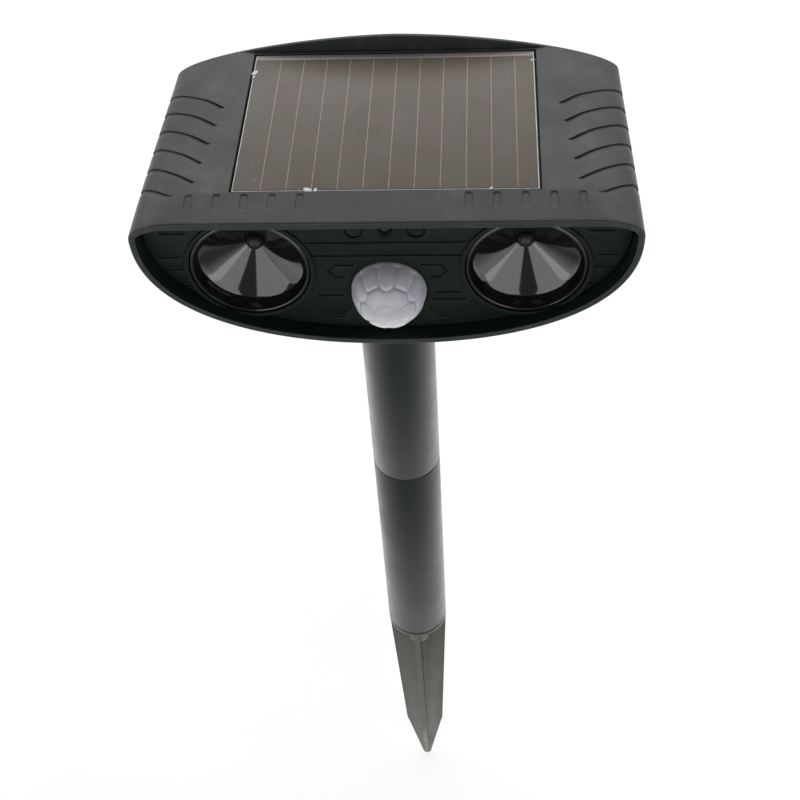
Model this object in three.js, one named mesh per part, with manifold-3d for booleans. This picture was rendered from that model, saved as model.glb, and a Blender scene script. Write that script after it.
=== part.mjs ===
// Solar ultrasonic pest repeller on a plug-together pole with a ground spike.
// Millimetres, +Z up, +X to the right and the front of the head facing -Y.
// Origin: on the pole's axis, at the underside of the spike's flange, where it meets the ground.
import * as THREE from 'three';
import { mergeVertices } from 'three/addons/utils/BufferGeometryUtils.js';
import Module from 'manifold-3d';

const wasm = await Module();
wasm.setup();

// ---------------------------------------------------------------- driving dimensions
const gap = 0.3; // clearance between two separate pieces
const wall = 2.5; // housing wall
const coverThickness = 2.0; // front panel and rear cover

// Head, measured from the front rim: x across, y back, z up from the rim's widest point.
const headWidth = 150;
const headTaper = 4; // how much narrower the head is at the rear
const headDepth = 84;
const rimTop = 7.9;
const hollowBottom = 39.9; // depth of the hollow at the front rim and at the rear
const hollowRearBottom = 37.5;
const rimBottom = hollowBottom + wall;
const rearBottom = hollowRearBottom + wall;
const frontCrown = 9.3; // height of the uncut front section
const rearCrown = 14.8;
const crownRise = 0.55; // how early along the depth the crown rises
const frontTopPower = 3.6; // squareness of the section's upper half, front and rear
const rearTopPower = 1.65;
const bottomPower = 2.2;
const deckHeight = 9.5;
const deckStart = 12.2;
const rearLip = 1.6;
const ceiling = 5.0; // top of the hollow inside the housing
const panelRecess = 4.8; // front panel's face behind the rim
const coverRecess = 4.0; // rear cover's face in front of the housing's rear end

// Deck details
const solarWidth = 90.1;
const solarLength = 67.9;
const solarThickness = 2.0;
const solarStart = 13.0;
const solarGap = 0.6;
const solarSeat = 6.6; // height of the floor under the solar panel
const gasketThickness = 0.5;
const gasketWidth = 4;
const grooveCount = 6;
const grooveWidth = 2.2;
const grooveDepth = 0.6;
const groovePitch = 9.0;
const grooveAngle = 36;
const grooveFirst = { x: 57, y: 16.8 };
const grooveStepIn = 1.1; // each groove further back starts this much nearer the middle
const grooveBottom = -22;
const cornerGroove = { x: 63.5, y: 11.6 };
const slotCount = 5;
const slotWidth = 2.4;
const slotLength = 6.6;
const slotPitch = 8.2;
const slotFirst = 24.5;
const slotBack = 11.6;
const slotDepth = 0.3;

// Speakers
const speakerX = 44.1 - wall; // a thicker wall moves both speakers inwards
const speakerZ = -14.1;
const speakerHole = 18.4;
const lipWidth = 1.5;
const lipHeight = 1.0;
const collarDepth = 4.6;
const hornRimDepth = 2.6; // behind the panel's face
const hornDepth = 9.6;
const hornThroat = 2.9;
const hornSkin = 1.3;
const hornLip = 3.1; // straight wall in front of the horn's cone
const hornLipSkin = 0.9;
const domeRadius = 2.6;
const domeStem = 1.6;
const driverRadius = 13;
const driverLength = 13;
const magnetRadius = 9;
const magnetLength = 4;

// Motion sensor and lamp
const lensRadius = 11.5;
const lensSkin = 1.0;
const lensZ = -23.6;
const lensFlange = 1.7;
const lensClampThickness = 1.0;
const sensorRadius = 4.6;
const sensorLength = 4.0;
const sensorBoardThickness = 1.2;
const lampSpacing = 9.15;
const lampZ = 0.7;
const lampHole = 2.1;
const lampSink = 3.4;
const lampRingOuter = 2.9;
const lampRingInner = 2.0;
const lampRingDepth = 0.8;
const lineWidth = 0.9;
const lineDepth = 0.45;

// Pole and spike, heights from the ground
const tubeRadius = 12.4;
const tubeWall = 1.8;
const spigotLength = 24;
const spikeFlange = 2.5;
const lowerTubeTop = 110.9;
const headHeight = 239.7; // the head's z = 0 above the ground
const poleClearance = 0.5; // between the lens clamp and the pole's socket
const socketWall = 1.9;
const socketMouth = -50.4;
const socketTop = -30.8;
const socketPad = -36; // top of the housing's pad that carries the socket's flange
const socketFlange = { thickness: 2.4, halfDepth: 8 };
const socketScrewMargin = 2.6; // between the socket and a screw's head
const spikeLength = 133.3;
const spikeShoulder = 95.7;
const bladeTop = tubeRadius - 0.1;
const bladeShoulder = 8.7;
const bladeTip = 2.0;
const bladeThickness = 2.0;
const hubRadius = 5.3;
const hubLength = 17.5;

// Inside and on the rear
const boardBack = 57.6;
const boardThickness = 1.6;
const board = { halfWidth: 50, bottom: -26, top: 3 };
const boardScrew = { x: 46.5, z: -11 };
const cell = { radius: 5.25, length: 44.5, gap: 0.4, z: -15.2 };
cell.pitch = 2 * cell.radius + cell.gap;
const batteryWall = 1.6;
const doorTab = { inner: 8, outer: 14, depth: 0.7, reach: 1.0 };
const batteryClearance = 0.45;
const contactThickness = 0.5;
const contactSpring = 1.35;
const knob = { x: 42, radius: 6.5, height: 4.6, upperZ: -2, lowerZ: -20, flutes: 10, flute: 0.8 };
const pot = { size: 10, depth: 6.5, shaft: 3.0 };
const powerSwitch = { x: -42, z: -2, width: 12, height: 8, depth: 6, travel: 4 };
const slider = { width: 4, height: 3.4, proud: 2.6 };
const charge = { x: -42, z: -20, width: 9.4, height: 4.2, depth: 8 };
const chargeMouth = { width: 7.8, height: 2.8, depth: 5 };
const chargeCap = { width: 13, height: 8, thickness: 1.6, stub: 3.4 };
const screwHead = { radius: 2.8, height: 1.8 };
const screwShank = 1.45;
const screwLength = 8;
const lugRadius = 3.6;
const lugBite = 1.0; // wall left outside the end of a lug's web
const frontLugs = [[-63, -3], [63, -3], [-21, -33.4], [21, -33.4]];
const rearLugs = [[-63, -4], [63, -4], [-33, -31], [33, -31]];
const wireRadius = 0.9;

// Facets round the housing, along it, round a large turned piece and round a small one
const aroundHead = 48;
const alongHead = 5;
const round = 24;
const fine = 12;

// ---------------------------------------------------------------- solids
function solid(geometry) {
  const bare = geometry.index ? geometry.toNonIndexed() : geometry.clone();
  bare.deleteAttribute('normal');
  bare.deleteAttribute('uv');
  const merged = mergeVertices(bare, 1e-4);
  const points = merged.attributes.position.array;
  const faces = [];
  let volume = 0;
  const corner = [new THREE.Vector3(), new THREE.Vector3(), new THREE.Vector3()];
  for (let i = 0; i < merged.index.count; i += 3) {
    const [a, b, c] = merged.index.array.subarray(i, i + 3);
    if (a === b || b === c || c === a) continue;
    corner.forEach((v, k) => v.fromArray(points, 3 * [a, b, c][k]));
    volume += corner[0].dot(corner[1].clone().cross(corner[2]));
    faces.push([a, b, c]);
  }
  const turned = volume < 0 ? faces.map(([a, b, c]) => [a, c, b]) : faces;
  const mesh = new wasm.Mesh({
    numProp: 3,
    vertProperties: Float32Array.from(points),
    triVerts: Uint32Array.from(turned.flat()),
  });
  return new wasm.Manifold(mesh);
}

function joined(...solids) {
  return solids.reduce((whole, part) => whole.add(part));
}

function cutBy(body, ...tools) {
  return tools.reduce((rest, tool) => rest.subtract(tool), body);
}

function box(x0, x1, y0, y1, z0, z1) {
  const geometry = new THREE.BoxGeometry(x1 - x0, y1 - y0, z1 - z0);
  geometry.translate((x0 + x1) / 2, (y0 + y1) / 2, (z0 + z1) / 2);
  return solid(geometry);
}

// Turned solid on an axis along +Y through (x, z); the profile is [radius, y] pairs.
function turnedY(profile, x = 0, z = 0, facets = round) {
  const points = profile.map(([r, y]) => new THREE.Vector2(r, y));
  const geometry = new THREE.LatheGeometry(points, facets);
  geometry.translate(x, 0, z);
  return solid(geometry);
}

// Turned solid on an axis along +Z through (x, y); the profile is [radius, z] pairs.
function turnedZ(profile, x = 0, y = 0, facets = round) {
  const points = profile.map(([r, z]) => new THREE.Vector2(r, z));
  const geometry = new THREE.LatheGeometry(points, facets);
  geometry.rotateX(Math.PI / 2);
  geometry.translate(x, y, 0);
  return solid(geometry);
}

function rodY(radius, y0, y1, x = 0, z = 0, facets = fine) {
  return turnedY([[0, y0], [radius, y0], [radius, y1], [0, y1]], x, z, facets);
}

function rodZ(radius, z0, z1, x = 0, y = 0, facets = round) {
  return turnedZ([[0, z0], [radius, z0], [radius, z1], [0, z1]], x, y, facets);
}

function rodX(radius, x0, x1, y, z, facets = fine) {
  const geometry = new THREE.CylinderGeometry(radius, radius, x1 - x0, facets);
  geometry.rotateZ(Math.PI / 2);
  geometry.translate((x0 + x1) / 2, y, z);
  return solid(geometry);
}

// A long hole's outline with round ends, from (0, 0) to (length, 0).
function longHole(length, width, z0, z1) {
  const r = width / 2;
  const shape = new THREE.Shape();
  shape.moveTo(0, -r);
  shape.lineTo(length, -r);
  shape.absarc(length, 0, r, -Math.PI / 2, Math.PI / 2, false);
  shape.lineTo(0, r);
  shape.absarc(0, 0, r, Math.PI / 2, (3 * Math.PI) / 2, false);
  const geometry = new THREE.ExtrudeGeometry(shape, { depth: z1 - z0, bevelEnabled: false, curveSegments: 3 });
  geometry.translate(0, 0, z0);
  return geometry;
}

function makeMesh(name, manifold, finish) {
  const { vertProperties, triVerts, numProp } = manifold.getMesh();
  const places = new Float32Array((vertProperties.length / numProp) * 3);
  for (let i = 0; i < places.length / 3; i += 1) {
    places.set(vertProperties.subarray(i * numProp, i * numProp + 3), i * 3);
  }
  const geometry = new THREE.BufferGeometry();
  geometry.setAttribute('position', new THREE.BufferAttribute(places, 3));
  geometry.setIndex(new THREE.BufferAttribute(Uint32Array.from(triVerts), 1));
  geometry.computeVertexNormals();
  const mesh = new THREE.Mesh(geometry, new THREE.MeshStandardMaterial(finish));
  mesh.name = name;
  return mesh;
}

// ---------------------------------------------------------------- finishes
const greenShell = { color: 0x24352d, roughness: 0.5, metalness: 0 };
const greenPanel = { color: 0x17271f, roughness: 0.55, metalness: 0 };
const greenPole = { color: 0x24382e, roughness: 0.38, metalness: 0 };
const glossBlack = { color: 0x0b0b0d, roughness: 0.12, metalness: 0 };
const mattBlack = { color: 0x15161a, roughness: 0.6, metalness: 0 };
const rubberBlack = { color: 0x101112, roughness: 0.85, metalness: 0 };
const lensWhite = { color: 0xe4e3ea, roughness: 0.35, metalness: 0 };
const cellBrown = { color: 0x4a3a34, roughness: 0.3, metalness: 0 };
const foam = { color: 0x1b1b1b, roughness: 0.95, metalness: 0 };
const steel = { color: 0xb4b6b8, roughness: 0.35, metalness: 1 };
const boardGreen = { color: 0x1d5a35, roughness: 0.5, metalness: 0 };
const copper = { color: 0xa4603a, roughness: 0.4, metalness: 1 };
const lampRed = { color: 0x8c2020, roughness: 0.2, metalness: 0 };
const cellWrap = { color: 0x2f6f9c, roughness: 0.4, metalness: 0 };
const leadRed = { color: 0xa32222, roughness: 0.5, metalness: 0 };

// ---------------------------------------------------------------- the housing's section
const alongDepth = (y) => THREE.MathUtils.clamp(y / headDepth, 0, 1);
const halfWidthAt = (y) => (headWidth - headTaper * alongDepth(y)) / 2;
const bottomAt = (y) => THREE.MathUtils.lerp(rimBottom, rearBottom, alongDepth(y));
const crownAt = (y) => frontCrown + (rearCrown - frontCrown) * alongDepth(y) ** crownRise;
const topPowerAt = (y) => THREE.MathUtils.lerp(frontTopPower, rearTopPower, alongDepth(y));

function sectionPoint(turn, y, inset) {
  const c = Math.cos(turn);
  const s = Math.sin(turn);
  const upper = s >= 0;
  const power = 2 / (upper ? topPowerAt(y) : bottomPower);
  const height = (upper ? crownAt(y) : bottomAt(y)) - inset;
  const x = Math.sign(c) * (halfWidthAt(y) - inset) * Math.abs(c) ** power;
  const z = Math.sign(s) * height * Math.abs(s) ** power;
  return [x, z];
}

// The head's outer form, pulled in by inset. A form that cuts right through overruns both ends.
function headForm(inset, overrun = 0) {
  const shape = new THREE.Shape();
  shape.absarc(0, 0, 1, 0, 2 * Math.PI, false);
  const options = { depth: headDepth, steps: alongHead, bevelEnabled: false, curveSegments: aroundHead / 2 };
  const geometry = new THREE.ExtrudeGeometry(shape, options);
  geometry.rotateX(Math.PI / 2);
  geometry.translate(0, headDepth, 0);
  const place = geometry.attributes.position;
  for (let i = 0; i < place.count; i += 1) {
    const turn = Math.atan2(place.getZ(i), place.getX(i));
    const y = place.getY(i);
    const [x, z] = sectionPoint(turn, y, inset);
    place.setXYZ(i, x, y, z);
    if (y < 1e-3) place.setY(i, -overrun);
    if (y > headDepth - 1e-3) place.setY(i, headDepth + overrun);
  }
  return solid(geometry);
}

const throughForm = (inset) => headForm(inset, 1);

function belowCeiling(form, drop = 0) {
  return form.intersect(box(-headWidth, headWidth, -headDepth, 2 * headDepth, -headWidth, ceiling - drop));
}

// A flat plate that fills the hollow with clearance all round, between two depths.
function fittedPlate(y0, y1) {
  return belowCeiling(headForm(wall + gap), gap).intersect(box(-headWidth, headWidth, y0, y1, -headWidth, headWidth));
}

// ---------------------------------------------------------------- places shared by several pieces
const rampSlope = (deckHeight - rimTop) / deckStart;
const panelFace = panelRecess;
const panelBack = panelFace + coverThickness;
const coverFace = headDepth - coverRecess;
const coverInside = coverFace - coverThickness;
const boardFront = boardBack - boardThickness;
const hornRimY = panelFace + hornRimDepth;
const hornRadius = speakerHole - gap;
const hornThroatY = hornRimY + hornDepth;
const driverFront = hornThroatY + hornSkin + gap;
const driverBack = driverFront + driverLength + magnetLength;
const socketBore = tubeRadius + gap;
const socketRadius = socketBore + socketWall;
const socketScrewX = socketRadius + socketScrewMargin + screwHead.radius;
const lensBack = panelBack + 2 * gap + 1 + lensClampThickness;
const poleSetback = lensBack + poleClearance + socketRadius; // pole's axis behind the front rim
const poleTop = socketTop - socketWall - gap;
const solarTop = solarSeat + gasketThickness + 2 * 0.1 + solarThickness;
const solarBack = solarStart + solarLength;
const batteryHalf = cell.length / 2 + contactSpring + contactThickness + gap + batteryClearance;
const batteryHeight = 3 * cell.pitch + batteryClearance;
const batteryTop = cell.z + batteryHeight / 2;
const batteryBottom = cell.z - batteryHeight / 2;
const cellY = coverInside - cell.radius - 1.25;
const batteryFront = cellY - cell.radius - batteryClearance;
const switchBack = coverInside - gap;
const pilot = screwShank + gap;

// ---------------------------------------------------------------- head pieces
function grooveTools() {
  const tools = [];
  const starts = [[cornerGroove.x, cornerGroove.y]];
  for (let i = 0; i < grooveCount - 1; i += 1) {
    starts.push([grooveFirst.x - grooveStepIn * i, grooveFirst.y + groovePitch * i]);
  }
  for (const [x, y] of starts) {
    for (const side of [-1, 1]) {
      const geometry = longHole(headWidth / 3, grooveWidth, grooveBottom, rearCrown + wall);
      const lean = THREE.MathUtils.degToRad(grooveAngle);
      geometry.rotateZ(side > 0 ? lean : Math.PI - lean);
      geometry.translate(side * x, y, 0);
      tools.push(solid(geometry));
    }
  }
  const floorHeight = deckHeight - grooveDepth;
  const kept = throughForm(grooveDepth);
  const core = kept.intersect(box(-headWidth, headWidth, -headDepth, 2 * headDepth, -headWidth, floorHeight));
  return cutBy(joined(...tools), core);
}

function slotTools() {
  const tools = [];
  const start = slotBack - slotLength + slotWidth / 2;
  for (let i = 0; i < slotCount; i += 1) {
    for (const side of [-1, 1]) {
      const geometry = longHole(slotLength - slotWidth, slotWidth, -slotDepth, 1);
      geometry.rotateZ(Math.PI / 2);
      geometry.rotateX(Math.atan(rampSlope));
      geometry.translate(side * (slotFirst + slotPitch * i), start, rimTop + rampSlope * start);
      tools.push(solid(geometry));
    }
  }
  return tools;
}

// Wedge of material above the sloping strip between the front rim and the deck.
function frontRamp() {
  const shape = new THREE.Shape();
  shape.moveTo(-1, rimTop - rampSlope);
  shape.lineTo(deckStart, deckHeight);
  shape.lineTo(deckStart, headWidth);
  shape.lineTo(-1, headWidth);
  const geometry = new THREE.ExtrudeGeometry(shape, { depth: 2 * headWidth, bevelEnabled: false });
  geometry.rotateX(Math.PI / 2);
  geometry.rotateZ(Math.PI / 2);
  geometry.translate(-headWidth, 0, 0);
  return solid(geometry);
}

// Screw lug on the housing's wall: a round post with a web out to the side or down to the floor.
function lug(x, z, y0, y1) {
  const side = Math.sign(x);
  const high = Math.abs(x) > headWidth / 3;
  const reach = high
    ? box(Math.min(x, side * headWidth), Math.max(x, side * headWidth), y0, y1, z - lugRadius, z + lugRadius)
    : box(x - lugRadius, x + lugRadius, y0, y1, -headWidth, z);
  return rodY(lugRadius, y0, y1, x, z).add(reach);
}

function mainHousing() {
  const outer = headForm(0);
  const inner = belowCeiling(throughForm(wall));
  const shell = cutBy(
    outer,
    frontRamp(),
    box(-headWidth, headWidth, deckStart, headDepth - rearLip, deckHeight, headWidth),
    grooveTools(),
    ...slotTools(),
  );
  const lugs = [
    ...frontLugs.map(([x, z]) => lug(x, z, panelBack + gap, panelBack + gap + screwLength - 1)),
    ...rearLugs.map(([x, z]) => lug(x, z, coverInside - gap - screwLength, coverInside - gap)),
    ...[-1, 1].map((side) => lug(side * boardScrew.x, boardScrew.z, boardFront - gap - screwLength, boardFront - gap)),
  ];
  const padReach = socketScrewX + lugRadius + 1;
  const padDepth = socketFlange.halfDepth + 1;
  const pad = box(-padReach, padReach, poleSetback - padDepth, poleSetback + padDepth, -headWidth, socketPad);
  const solids = shell.subtract(inner).add(joined(...lugs, pad).intersect(headForm(lugBite)));
  const recess = box(
    -solarWidth / 2 - solarGap, solarWidth / 2 + solarGap,
    solarStart - solarGap, solarBack + solarGap,
    solarSeat, headWidth,
  );
  const pilots = [
    ...frontLugs.map(([x, z]) => rodY(pilot, 0, panelBack + screwLength + 2, x, z)),
    ...rearLugs.map(([x, z]) => rodY(pilot, coverInside - screwLength - 2, headDepth + 1, x, z)),
    ...[-1, 1].map((side) => rodY(pilot, boardFront - screwLength - 2, boardBack, side * boardScrew.x, boardScrew.z)),
    ...[-1, 1].map((side) => rodZ(pilot, socketPad - 3, 0, side * socketScrewX, poleSetback, fine)),
  ];
  return cutBy(
    solids,
    recess,
    rodZ(socketRadius + gap, -headWidth, 0, 0, poleSetback),
    rodZ(wireRadius + 2 * gap, 0, headWidth, solarLead[0][0], solarLead[0][1], fine),
    ...pilots,
  );
}

// Straight engraved strokes on the front panel, as [x, z] points of open lines.
const circuitLines = [
  [[-23.6, -3.8], [23.6, -3.8]],
  [[-21.8, -9.0], [21.8, -9.0]],
  [[10.5, -12.9], [15.8, -12.9], [17.9, -15.3], [15.7, -17.7], [13.4, -17.7]],
  [[-10.5, -12.9], [-15.8, -12.9], [-17.9, -15.3], [-15.7, -17.7], [-13.4, -17.7]],
  [[14.4, -24.2], [21.5, -24.2]],
  [[13.6, -27.2], [23.0, -27.2]],
  [[-14.4, -25.4], [-21.5, -25.4]],
  [[12.4, -31.0], [14.8, -34.6], [18.2, -34.6]],
  [[-12.4, -31.0], [-14.8, -34.6], [-18.2, -34.6]],
  [[59.6, 0.2], [66.6, 0.2]],
  [[62.6, -9.2], [68.4, -9.2]],
  [[62.4, -14.2], [67.6, -14.2]],
  [[60.2, -21.0], [63.4, -21.0]],
  [[-59.6, 0.2], [-66.6, 0.2]],
  [[-62.6, -9.2], [-68.4, -9.2]],
  [[-62.4, -14.2], [-67.6, -14.2]],
  [[-60.2, -21.0], [-63.4, -21.0]],
];

function strokes() {
  const tools = [];
  for (const line of circuitLines) {
    for (let i = 1; i < line.length; i += 1) {
      const from = new THREE.Vector2(...line[i - 1]);
      const step = new THREE.Vector2(...line[i]).sub(from);
      const geometry = new THREE.BoxGeometry(step.length() + lineWidth, 2 * lineDepth, lineWidth);
      geometry.rotateY(-step.angle());
      geometry.translate(from.x + step.x / 2, panelFace, from.y + step.y / 2);
      tools.push(solid(geometry));
    }
  }
  return joined(...tools);
}

function frontPanel() {
  const sides = [-1, 1];
  const plate = fittedPlate(panelFace, panelBack);
  const inside = fittedPlate(0, headDepth);
  const collars = sides.map((side) => {
    const outer = speakerHole + lipWidth;
    const ring = rodY(outer, panelFace - lipHeight, panelFace + collarDepth, side * speakerX, speakerZ, 32);
    return ring.intersect(inside);
  });
  const lampFace = panelFace - 1;
  const ring = [[lampRingInner, lampFace], [lampRingOuter, lampFace],
    [lampRingOuter, panelFace + lampRingDepth], [lampRingInner, panelFace + lampRingDepth], [lampRingInner, lampFace]];
  const sink = [[0, lampFace], [lampSink + 1, lampFace], [lampHole, panelFace + 1.3], [lampHole, panelBack + 1],
    [0, panelBack + 1]];
  return cutBy(
    joined(plate, ...collars),
    ...sides.map((side) => rodY(speakerHole, 0, headDepth, side * speakerX, speakerZ, 32)),
    ...sides.map((side) => turnedY(ring, side * lampSpacing, lampZ, fine)),
    turnedY(sink, 0, lampZ, fine),
    rodY(lensRadius + gap, 0, headDepth, 0, lensZ, round),
    strokes(),
    ...frontLugs.map(([x, z]) => rodY(screwShank + 0.15, panelBack - 1.2, panelBack + 1, x, z)),
  );
}

function speakerHorn(side) {
  const front = hornRimY - hornLip;
  const inside = hornRadius - hornLipSkin;
  return turnedY([
    [hornRadius, front], [hornRadius, hornRimY + hornSkin], [hornThroat + 2, hornThroatY + hornSkin],
    [hornThroat, hornThroatY + hornSkin], [hornThroat, hornThroatY], [inside, hornRimY],
    [inside, front], [hornRadius, front],
  ], side * speakerX, speakerZ, 32);
}

function speakerDome(side) {
  const y = hornThroatY;
  return turnedY([
    [0, y - 2.4], [domeRadius * 0.55, y - 2.0], [domeRadius * 0.9, y - 1.1], [domeRadius, y],
    [domeStem, y + 0.4], [domeStem, y + hornSkin], [0, y + hornSkin],
  ], side * speakerX, speakerZ, fine);
}

function speakerDriver(side) {
  const y = driverFront;
  return turnedY([
    [0, y], [driverRadius - 2, y], [driverRadius, y + 2], [driverRadius, y + driverLength],
    [magnetRadius, y + driverLength], [magnetRadius, driverBack], [0, driverBack],
  ], side * speakerX, speakerZ, 24);
}

function motionLens() {
  const steps = 5;
  const outer = [];
  const inner = [];
  for (let i = 0; i <= steps; i += 1) {
    const turn = (Math.PI / 2) * (i / steps);
    outer.push([lensRadius * Math.sin(turn), panelFace - lensRadius * Math.cos(turn)]);
    const r = lensRadius - lensSkin;
    inner.push([r * Math.sin(turn), panelFace - r * Math.cos(turn)]);
  }
  const flangeFront = panelBack + gap;
  const flangeBack = flangeFront + 1;
  return turnedY([
    ...outer,
    [lensRadius, flangeFront], [lensRadius + lensFlange, flangeFront], [lensRadius + lensFlange, flangeBack],
    [lensRadius - lensSkin, flangeBack],
    ...inner.reverse(),
  ], 0, lensZ, 24);
}

function lensClamp() {
  const front = panelBack + 2 * gap + 1;
  return rodY(lensRadius + lensFlange, front, front + lensClampThickness, 0, lensZ, 24)
    .subtract(rodY(lensRadius - lensSkin - 1, 0, headDepth, 0, lensZ, 24));
}

function sensorBoard() {
  return rodY(lensRadius - lensSkin - gap, panelFace + gap, panelFace + gap + sensorBoardThickness, 0, lensZ, 20);
}

function motionSensor() {
  const back = panelFace;
  return turnedY([
    [0, back - sensorLength], [sensorRadius - 0.6, back - sensorLength], [sensorRadius - 0.6, back - 0.6],
    [sensorRadius, back - 0.6], [sensorRadius, back], [0, back],
  ], 0, lensZ, fine);
}

function statusLamp() {
  const r = lampHole - gap;
  const front = panelFace + 0.6;
  return turnedY([
    [0, front], [r * 0.6, front + 0.35], [r, front + 1.2], [r, panelBack + gap], [r + 0.5, panelBack + gap],
    [r + 0.5, panelBack + gap + 1], [0, panelBack + gap + 1],
  ], 0, lampZ, 12);
}

function solarPanel() {
  return box(-solarWidth / 2, solarWidth / 2, solarStart, solarBack, solarTop - solarThickness, solarTop);
}

function solarGasket() {
  const z0 = solarSeat + 0.1;
  const z1 = z0 + gasketThickness;
  const half = solarWidth / 2 - 0.5;
  return box(-half, half, solarStart + 0.5, solarBack - 0.5, z0, z1).subtract(box(
    -half + gasketWidth, half - gasketWidth,
    solarStart + 0.5 + gasketWidth, solarBack - 0.5 - gasketWidth,
    z0 - 1, z1 + 1,
  ));
}

// ---------------------------------------------------------------- rear cover and controls
function rearCover() {
  const plate = fittedPlate(coverInside, coverFace);
  const wallOut = batteryWall;
  const tray = box(
    -batteryHalf - wallOut, batteryHalf + wallOut,
    batteryFront - wallOut, coverInside + 1,
    batteryBottom - wallOut, batteryTop + wallOut,
  );
  const hollow = box(-batteryHalf, batteryHalf, batteryFront, headDepth, batteryBottom, batteryTop);
  const ledge = (side) => {
    const inside = side * (batteryHalf - 0.9);
    const outside = side * (batteryHalf + 0.2);
    return box(
      Math.min(inside, outside), Math.max(inside, outside),
      coverInside - 0.9, coverInside - gap + 0.4, batteryBottom + 3, batteryTop + 0.2,
    );
  };
  const slide = {
    low: powerSwitch.x - slider.width / 2 - powerSwitch.travel / 2 - gap,
    high: powerSwitch.x + slider.width / 2 + powerSwitch.travel / 2 + gap,
  };
  const tabNotch = box(
    -doorTab.outer - gap, doorTab.outer + gap, coverInside - doorTab.depth - 2 * gap, coverInside,
    batteryBottom - doorTab.reach - gap, batteryBottom + 1,
  );
  return cutBy(
    joined(plate, tray),
    hollow,
    ...[knob.upperZ, knob.lowerZ].map((z) => rodY(pot.shaft + gap, 0, 2 * headDepth, knob.x, z)),
    box(slide.low, slide.high, coverInside - 1, headDepth, powerSwitch.z - slider.height / 2 - gap,
      powerSwitch.z + slider.height / 2 + gap),
    box(charge.x - charge.width / 2 - gap, charge.x + charge.width / 2 + gap, coverInside - 1, headDepth,
      charge.z - charge.height / 2 - gap, charge.z + charge.height / 2 + gap),
    ...rearLugs.map(([x, z]) => rodY(pilot, 0, 2 * headDepth, x, z)),
    tabNotch,
    rodY(wireRadius + gap, 0, batteryFront + 1, batteryLead[0][0], batteryLead[0][2]),
  ).add(joined(ledge(-1), ledge(1)));
}

function batteryDoor() {
  const thickness = coverThickness - 0.3;
  const x = batteryHalf - gap;
  const plate = box(-x, x, coverFace - thickness, coverFace, batteryBottom + gap, batteryTop - gap);
  const tab = (side) => {
    const [near, far] = [side * doorTab.inner, side * doorTab.outer];
    const y1 = coverInside - gap;
    const foot = box(Math.min(near, far), Math.max(near, far), y1 - doorTab.depth, y1,
      batteryBottom - doorTab.reach + gap, batteryBottom + 1.2);
    const stem = box(Math.min(near, far), Math.max(near, far), y1 - doorTab.depth, coverFace - 1,
      batteryBottom + gap, batteryBottom + 1.2);
    return foot.add(stem);
  };
  const grip = [0, 1, 2].map((i) => box(-7, 7, coverFace - 0.6, coverFace + 1,
    batteryTop - 4.4 - 2.2 * i, batteryTop - 3.2 - 2.2 * i));
  return cutBy(joined(plate, tab(-1), tab(1)), ...grip);
}

function batteryCell(row) {
  const z = cell.z + cell.pitch * row;
  const flip = row === 0 ? -1 : 1;
  const nub = 1.2;
  const half = cell.length / 2;
  const body = rodX(cell.radius, -half + (flip < 0 ? nub : 0), half - (flip > 0 ? nub : 0), cellY, z, 20);
  const button = rodX(1.9, Math.min(flip * (half - 2), flip * half), Math.max(flip * (half - 2), flip * half), cellY, z);
  return body.add(button);
}

function contactStrip(side) {
  const inner = cell.length / 2 + gap + contactSpring;
  const outer = inner + contactThickness;
  const plate = box(
    Math.min(side * inner, side * outer), Math.max(side * inner, side * outer),
    cellY - 4.4, cellY + 4.4, batteryBottom + 1, batteryTop - 1,
  );
  const springs = [-1, 0, 1].map((row) => {
    const geometry = new THREE.CylinderGeometry(1.6, 3.2, contactSpring + 0.2, fine);
    geometry.rotateZ((side * Math.PI) / 2);
    geometry.translate(side * (inner - contactSpring / 2 + 0.1), cellY, cell.z + cell.pitch * row);
    return solid(geometry);
  });
  return joined(plate, ...springs);
}

function controlBoard() {
  const plate = box(-board.halfWidth, board.halfWidth, boardFront, boardBack, board.bottom, board.top);
  const chip = (x, z, w, h, t) => box(x - w / 2, x + w / 2, boardFront - t, boardFront + 0.4, z - h / 2, z + h / 2);
  return cutBy(
    joined(plate, chip(-8, -6, 10, 6, 1.6), chip(16, -4, 6, 4.5, 1.4), chip(-30, -18, 4, 3, 1.2)),
    ...[-1, 1].map((side) => rodY(pilot, 0, headDepth, side * boardScrew.x, boardScrew.z)),
  );
}

const inductorPlace = { x: 26, z: -17, radius: 5, height: 8 };
const capacitorPlace = { x: -16, z: -18, radius: 4, height: 10 };

function inductor() {
  const { x, z, radius, height } = inductorPlace;
  const y1 = boardFront - gap;
  const waist = radius * 0.72;
  return turnedY([
    [0, y1 - height], [radius, y1 - height], [radius, y1 - height + 1.4], [waist, y1 - height + 1.4],
    [waist, y1 - 1.4], [radius, y1 - 1.4], [radius, y1], [0, y1],
  ], x, z, fine);
}

function capacitor() {
  const { x, z, radius, height } = capacitorPlace;
  return rodY(radius, boardFront - gap - height, boardFront - gap, x, z, fine);
}

function potentiometer(z) {
  const y0 = boardBack + gap;
  const half = pot.size / 2;
  const body = box(knob.x - half + 1, knob.x + half - 1, y0, y0 + pot.depth, z - half + 1, z + half - 1);
  return body.add(rodY(pot.shaft - 0.4, y0, coverFace - coverThickness - 3, knob.x, z));
}

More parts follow.
